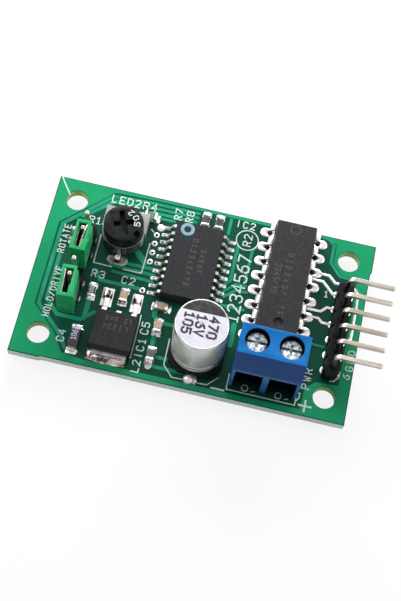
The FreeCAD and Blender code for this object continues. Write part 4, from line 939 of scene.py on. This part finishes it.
def makeWings():
    # Controller leads, each a strip bent from the body's side down to its foot
    low, high = boxOf("controller_leads")
    body = boxOf("controller_body")
    line = [(-0.3, 2.92), (0.24, 2.92), (0.38, 2.85), (0.84, 1.86), (0.98, 1.74), (1.44, 1.72)]
    half, wide = 0.095, 0.235
    form = bmesh.new()
    for points in islands("controller_leads"):
        y = (min(p.y for p in points) + max(p.y for p in points)) / 2
        left = sum(p.x for p in points) / len(points) < (low.x + high.x) / 2
        rows = []
        for k, (away, level) in enumerate(line):
            before, after = line[max(k - 1, 0)], line[min(k + 1, len(line) - 1)]
            run = Vector((after[0] - before[0], after[1] - before[1])).normalized()
            ring = []
            for across, up in ((-1, -1), (1, -1), (1, 1), (-1, 1)):
                px, pz = away - run.y * half * up, level + run.x * half * up
                x = body[0].x - px if left else body[1].x + px
                ring.append(form.verts.new((x * mm, (y + wide * across) * mm, pz * mm)))
            rows.append(ring)
        joinRings(form, rows)
        form.faces.new(rows[0])
        form.faces.new(rows[-1])
    settle(finishPiece("controller_wings", form, wingTin, "controller_leads"))


def addBlock(form, low, high, draw=0.0):
    # A block whose top is drawn in on all sides
    rings = [ringAt(form, rectangle(low, high), low[2]),
             ringAt(form, rectangle(low, high, draw), high[2])]
    joinRings(form, rings)
    for ring in rings:
        form.faces.new(ring)


def makeController():
    low, high = boxOf("controller_body")
    form = bmesh.new()
    parting, draft = (low.z + high.z) / 2, 0.13
    rings = [ringAt(form, rectangle(low, high, inset), level)
             for level, inset in ((low.z, draft), (parting, 0.0), (high.z, draft))]
    form.faces.new(rings[0])
    form.faces.new(rings[-1])
    joinRings(form, rings)
    rounding(form, 0.06, 2, 5)
    settle(finishPiece("controller_moulding", form, chipEpoxy, "controller_body"))


def makeTantalum():
    low, high = boxOf("tantalum_chip_ends")
    form = bmesh.new()
    addBlock(form, (low.x, low.y + 0.08, low.z + 0.1), (high.x, high.y - 0.08, high.z), 0.07)
    rounding(form, 0.06)
    settle(finishPiece("tantalum_moulding", form, tantalumResin, "tantalum_chip"))
    form = bmesh.new()
    middle = (low.x + high.x) / 2
    for front in (low.y, high.y - 0.75):
        addBlock(form, (middle - 0.6, front, low.z), (middle + 0.6, front + 0.75, low.z + 0.14))
    for front in (low.y, high.y - 0.1):
        addBlock(form, (middle - 0.55, front, low.z + 0.1),
                 (middle + 0.55, front + 0.1, low.z + 0.85))
    settle(finishPiece("tantalum_terminals", form, tinLead, "tantalum_chip_ends"))


def repaint(piece, paint, chosen):
    # Gives one more material to the faces that are chosen by centre and normal
    mesh = piece.data
    mesh.materials.append(paint)
    for face in mesh.polygons:
        if chosen(face.center / mm, face.normal):
            face.material_index = len(mesh.materials) - 1


repaint(pieces["driver_leads"], leadShade, lambda centre, normal: normal.z < 0.5)
repaint(pieces["header_pins"], pinShade,
        lambda centre, normal: abs(normal.z) < 0.5 and boardTop < centre.z < 7.4)
# The trimmer housing's front-facing faces take painted shade
repaint(pieces["trimmer_housing"], trimmerFrontShade, lambda centre, normal: normal.y < -0.45)

entry = {"front": -12.98, "top": 7.72, "half": 2.03}
slopeLow = 8
screw = {"y": -9.1, "low": 7.9, "share": 0.88, "recess": 1.4, "recessTop": 10.32}
well = {"low": 8.6, "reach": 2.06, "share": 0.94, "wallLow": 8.7, "wallReach": 1.95}


def shrinkRound(piece, x, low, reach, share):
    # Draws the points above a level towards the screw's axis
    for vertex in piece.data.vertices:
        away = Vector((vertex.co.x / mm - x, vertex.co.y / mm - screw["y"]))
        if vertex.co.z / mm > low and away.length < reach:
            vertex.co.x = (x + away.x * share) * mm
            vertex.co.y = (screw["y"] + away.y * share) * mm


def makeTerminal():
    housing = pieces["terminal_housing"]

    def fromAxis(centre):
        return abs(abs(centre.x - terminal["x"]) - terminal["side"])

    repaint(housing, terminalShade, lambda centre, normal: centre.z < entry["top"]
            and centre.y > entry["front"] and fromAxis(centre) < entry["half"])
    # The front slope takes painted shade
    repaint(housing, terminalSlopeShade, lambda centre, normal: normal.y < -0.3
            and normal.z > 0.1 and centre.z > slopeLow)
    repaint(housing, terminalShade, lambda centre, normal: centre.z > well["wallLow"]
            and abs(normal.z) < 0.3
            and math.hypot(fromAxis(centre), centre.y - screw["y"]) < well["wallReach"])
    for side, x in zip(("minus", "plus"), screwXs):
        # A smaller head in a smaller well, with a dark recess
        head = pieces["terminal_screw_" + side]
        shrinkRound(head, x, screw["low"], math.inf, screw["share"])
        shrinkRound(housing, x, well["low"], well["reach"], well["share"])
        repaint(head, screwShade, lambda centre, normal:
                screw["low"] < centre.z < screw["recessTop"]
                and math.hypot(centre.x - x, centre.y - screw["y"]) < screw["recess"])


makeTerminal()
makeWings()
makeController()
makeTantalum()
print("rounded", len(pieces))


# Capacitor can

can = {"x": 1.9, "y": -8.7, "printTop": 11.665, "printLow": 11.64, "printRadius": 3.66,
       "chordLeft": 1.72, "chordRight": 1.78}


def makeCan():
    x, y = can["x"], can["y"]
    profile = pathOf("0,2.72 3.7,2.72 3.92,2.78 3.99,2.95 3.99,3.45 3.96,3.58 3.82,3.68 "
                     "3.74,3.8 3.72,3.95 3.74,4.15 3.82,4.32 3.96,4.48 3.99,4.6 3.99,11.2 "
                     "3.98,11.35 3.94,11.5 3.87,11.62 3.78,11.69 3.72,11.685 3.69,11.65 0,11.65")
    face = len(profile) - 2
    # Paint 3 is painted shade on the groove's two slopes
    form = lathe(profile, x, y, 96, lambda k: 1 if k >= face else 2 if k >= face - 6
                 else 3 if k in (5, 10) else 0)
    finishPiece("can_shell", form,
                [canSatin, canPrint, canShoulder, canGrooveShade], "capacitor_can", smooth=45)
    low, high, reach = can["printLow"], can["printTop"], can["printRadius"]
    first = math.asin(can["chordRight"] / reach)
    last = math.pi - math.asin(can["chordLeft"] / reach)
    turns = [first + (last - first) * k / 40 for k in range(41)]
    form = bmesh.new()
    addPlate(form, [(x + reach * math.cos(turn), y + reach * math.sin(turn)) for turn in turns],
             [], low, high)
    finishPiece("can_segment", form, canSegment)
    form = bmesh.new()
    for words, line in (("470", 0.85), ("16V", -1.0), ("105", -2.8)):
        addText(form, words, x + line, y + 1.5, 1.6, 0.32, low, high, -90, 1.2)
    finishPiece("can_text", form, inkBlack)


makeCan()


# Solder: mounds at the surface parts, cones under the drilled leads

def addMound(form, x, y, length, width, height, angle, level, hollow=2.0):
    # Rises towards its start, hollow along its length and round at its toe
    c, s = math.cos(angle), math.sin(angle)
    rows, steps = [], 10
    for i in range(steps + 1):
        u = i / steps
        half = width / 2 * math.sqrt(max(0.0, 1 - (0.97 * u) ** 3))
        row = []
        for j in range(steps + 1):
            v = 2 * j / steps - 1
            lift = height * (1 - u) ** hollow * (1 - 0.55 * abs(v) ** 3)
            px, py = u * length, v * half
            row.append(form.verts.new(((x + px * c - py * s) * mm, (y + px * s + py * c) * mm,
                                       (level + lift * (1 if abs(v) < 1 else 0.25)) * mm)))
        rows.append(row)
    for lower, upper in zip(rows, rows[1:]):
        for j in range(steps):
            form.faces.new((lower[j], lower[j + 1], upper[j + 1], upper[j]))
    rim = rows[0] + [row[-1] for row in rows[1:]] + rows[-1][-2::-1]
    rim += [row[0] for row in rows[-2:0:-1]]
    feet = [form.verts.new((v.co.x, v.co.y, level * mm)) for v in rim]
    for k in range(len(rim)):
        j = (k + 1) % len(rim)
        form.faces.new((rim[k], feet[k], feet[j], rim[j]))


# Solder drops before the can: place, radius, height and number of the paint; paint 1, the tin
# pad's, is a painted highlight on the first drop
domes = [(1.6, -13.5, 0.85, 0.75, 1), (2.35, -13.45, 0.62, 0.55, 0)]


def makeFillets():
    form = bmesh.new()
    for points in islands("solder_fillets"):
        low, high = spanOf(points)
        centre = (low + high) / 2
        crest = [p for p in points if p.z > high.z - 0.02]
        lean = sum(crest, Vector()) / len(crest) - centre
        along = 0 if abs(lean.x) > abs(lean.y) else 1
        angle = math.atan2(-(lean.y if along else 0), -(0 if along else lean.x))
        length, width = (high - low)[along], (high - low)[1 - along]
        start = Vector((centre.x, centre.y))
        start[along] += math.copysign(length / 2, lean[along])
        addMound(form, start.x, start.y, length * 1.1, width * 1.12, high.z - boardTop, angle,
                 boardTop + 0.01)
    for x, y, wide, height, paint in domes:
        rings = []
        for k in range(7):
            away = math.radians(90 - 15 * k)
            outline = circle(x, y, max(wide * math.cos(away), 0.02), 20)
            rings.append(ringAt(form, [(px, y + (py - y) * 0.95) for px, py in outline],
                                boardTop + 0.01 + height * math.sin(away)))
        form.faces.new(rings[0])
        joinRings(form, rings, paint)
    addMound(form, -4.65, -12.15, 1.2, 1.3, 0.55, -math.pi / 2, boardTop + 0.045, 0.9)
    finishPiece("solder_mounds", form, [solderAndGlints, tinPad],
                "solder_fillets", smooth=60)


def makeCones():
    form = bmesh.new()
    for points in islands("solder_joints"):
        low, high = spanOf(points)
        centre, depth = (low + high) / 2, high.z - low.z
        broad = (high.x - low.x) / 2
        rings = []
        for share, reach in ((1.0, 0.0), (0.82, 0.14), (0.62, 0.36), (0.52, 0.62), (0.46, 0.86),
                             (0.40, 1.0)):
            rings.append(ringAt(form, circle(centre.x, centre.y, broad * share, 20),
                                high.z - depth * reach))
        joinRings(form, rings)
        form.faces.new(rings[0])
        form.faces.new(rings[-1])
    finishPiece("solder_cones", form, solderAndGlints, "solder_joints", smooth=50)


controller = {"y": 4.48, "pitch": 1.27, "rows": 10, "left": -6.95, "right": 3.3}
# Wide lands: place, length and width
lands = [(-13.15, -3.5, 1.75, 3.1), (-8.62, -3.5, 1.65, 3.1), (1.9, -12.6, 1.7, 2.9),
         (1.9, -4.5, 1.7, 2.6), (-16.25, -9.5, 1.6, 1.2), (-16.25, -13.2, 1.6, 1.0)]


def makeFlatPads():
    # Tinned lands under the surface parts
    form = bmesh.new()
    low, high, inset = boardTop, boardTop + 0.035, 0.03
    for _, y in column(0, controller["y"], controller["rows"], controller["pitch"]):
        for x in (controller["left"], controller["right"]):
            addPlate(form, roundedBox(x, y, 1.25, 0.56, 0.08), [], low, high, inset)
    for land in lands:
        addPlate(form, roundedBox(*land, 0.15), [], low, high, inset)
    for node in chipParts:
        start, end = boxOf(node + "_ends")
        long = 0 if end.x - start.x > end.y - start.y else 1
        size = (0.95, 1.36) if long == 0 else (1.4, 0.95)
        if node == "resistor_pullup":
            size = (1.0, 0.5)
        for side in (start[long], end[long]):
            centre = (start + end) / 2
            centre[long] = side
            addPlate(form, roundedBox(centre.x, centre.y, *size, 0.12), [], low, high, inset)
    finishPiece("flat_pads", form, tinPad, smooth=50)
    form = bmesh.new()
    # Solder under and before the regulator's tab, then behind its two leads; its dark tone is a
    # painted dark reflection on real solder
    addPlate(form, roundedBox(-11.0, -12.2, 5.9, 3.5, 0.15), [], low, high + 0.01, 0.05)
    addPlate(form, roundedBox(-10.75, -13.27, 5.36, 0.6, 0.1), [], 2.1, 2.15, inset)
    addMound(form, -10.75, -13.54, 0.42, 5.5, 0.5, -math.pi / 2, boardTop + 0.04, 1.0)
    for x, width in ((-13.15, 1.5), (-8.62, 1.45)):
        addMound(form, x, -3.72, 1.65, width, 0.62, math.pi / 2, boardTop + 0.03, 1.3)
    finishPiece("solder_painted_dark_reflection", form, solderShadedReflection, smooth=60)


makeFillets()
makeCones()
makeFlatPads()
print("solder")


# Marks on the parts

def addMark(name, owner, paint, outline, low, high, holes=()):
    form = bmesh.new()
    addPlate(form, outline, holes, low, high)
    finishPiece(name, form, paint, body=bodyOf[owner])


def makeMarks():
    form = bmesh.new()
    low, high = 3.2, 3.245
    addPlate(form, roundedBox(-16.15, -10.12, 1.3, 0.36, 0.03), [], low, high)
    addText(form, "106", -15.78, -12.05, 0.85, 0.13, low, high, 90, 0.56, 0.5)
    finishPiece("tantalum_marks", form, tantalumMark)
    notch, ring = (12.5, 12.75), (-3.72, 9.52)
    addMark("driver_notch", "driver_body", laserMark, circle(*notch, 0.85, 32), 5.5, 5.556,
            [circle(*notch, 0.72, 32)])
    addMark("controller_ring", "controller_body", chipRing, circle(*ring, 1.08, 40), 4.0, 4.062,
            [circle(*ring, 0.56, 32)])


chipWords = {
    # words, place of the first letter, height, step, turn
    "driver_body": [("0123456 78", 12.1, 8.6, 0.95, 1.1, -90),
                    ("2345678", 10.5, 6.5, 1.0, 0.74, -90)],
    "controller_body": [("012345678", -2.55, 8.2, 0.9, 0.95, -90),
                        ("34567", -0.95, 6.6, 0.8, 0.85, -90)],
    "regulator_body": [("12 345", -8.3, -7.25, 0.8, 0.72, 180),
                       ("01234", -8.75, -8.5, 0.95, 0.8, 180)],
}


def makeChipWords():
    for node, lines in chipWords.items():
        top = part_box(node)[1].z / mm
        form = bmesh.new()
        for words, x, y, height, step, turn in lines:
            addText(form, words, x, y, height, 0.12, top - 0.02, top + 0.008, turn, step, 0.5)
        finishPiece(node + "_text", form, laserMark)


def makeResistorMarks():
    for node in ("resistor_pullup", "resistor_input", "resistor_clock", "resistor_speed"):
        low, high = boxOf(node)
        centre = (low + high) / 2
        addMark(node + "_glaze", node, resistorGlaze,
                roundedBox(centre.x, centre.y, 1.14, 1.26, 0.06), high.z - 0.01, high.z + 0.025)
    low, high = boxOf("resistor_input")
    centre = (low + high) / 2
    form = bmesh.new()
    addText(form, "102", centre.x + 0.28, centre.y - 0.52, 0.62, 0.1, high.z + 0.02,
            high.z + 0.05, 90, 0.38, 0.5)
    finishPiece("resistor_text", form, silk)


rotorWords = {"top": 6.34, "reach": 2.52, "back": 0.33, "height": 0.95, "pen": 0.14}


def makeRotorWords():
    form = bmesh.new()
    top = rotorWords["top"]
    for letter, turn in (("5", 6), ("0", 37), ("2", 68)):
        out, side = math.radians(turn), math.radians(turn + 90)
        x = (trimmer["x"] + rotorWords["reach"] * math.cos(out)
             - rotorWords["back"] * math.cos(side))
        y = (trimmer["y"] + rotorWords["reach"] * math.sin(out)
             - rotorWords["back"] * math.sin(side))
        addText(form, letter, x, y, rotorWords["height"], rotorWords["pen"], top, top + 0.025,
                turn + 90, 0.8, 0.75)
    finishPiece("rotor_text", form, silk, body="trimmer_adjuster")


makeMarks()
makeChipWords()
makeResistorMarks()
makeRotorWords()
print("marks")
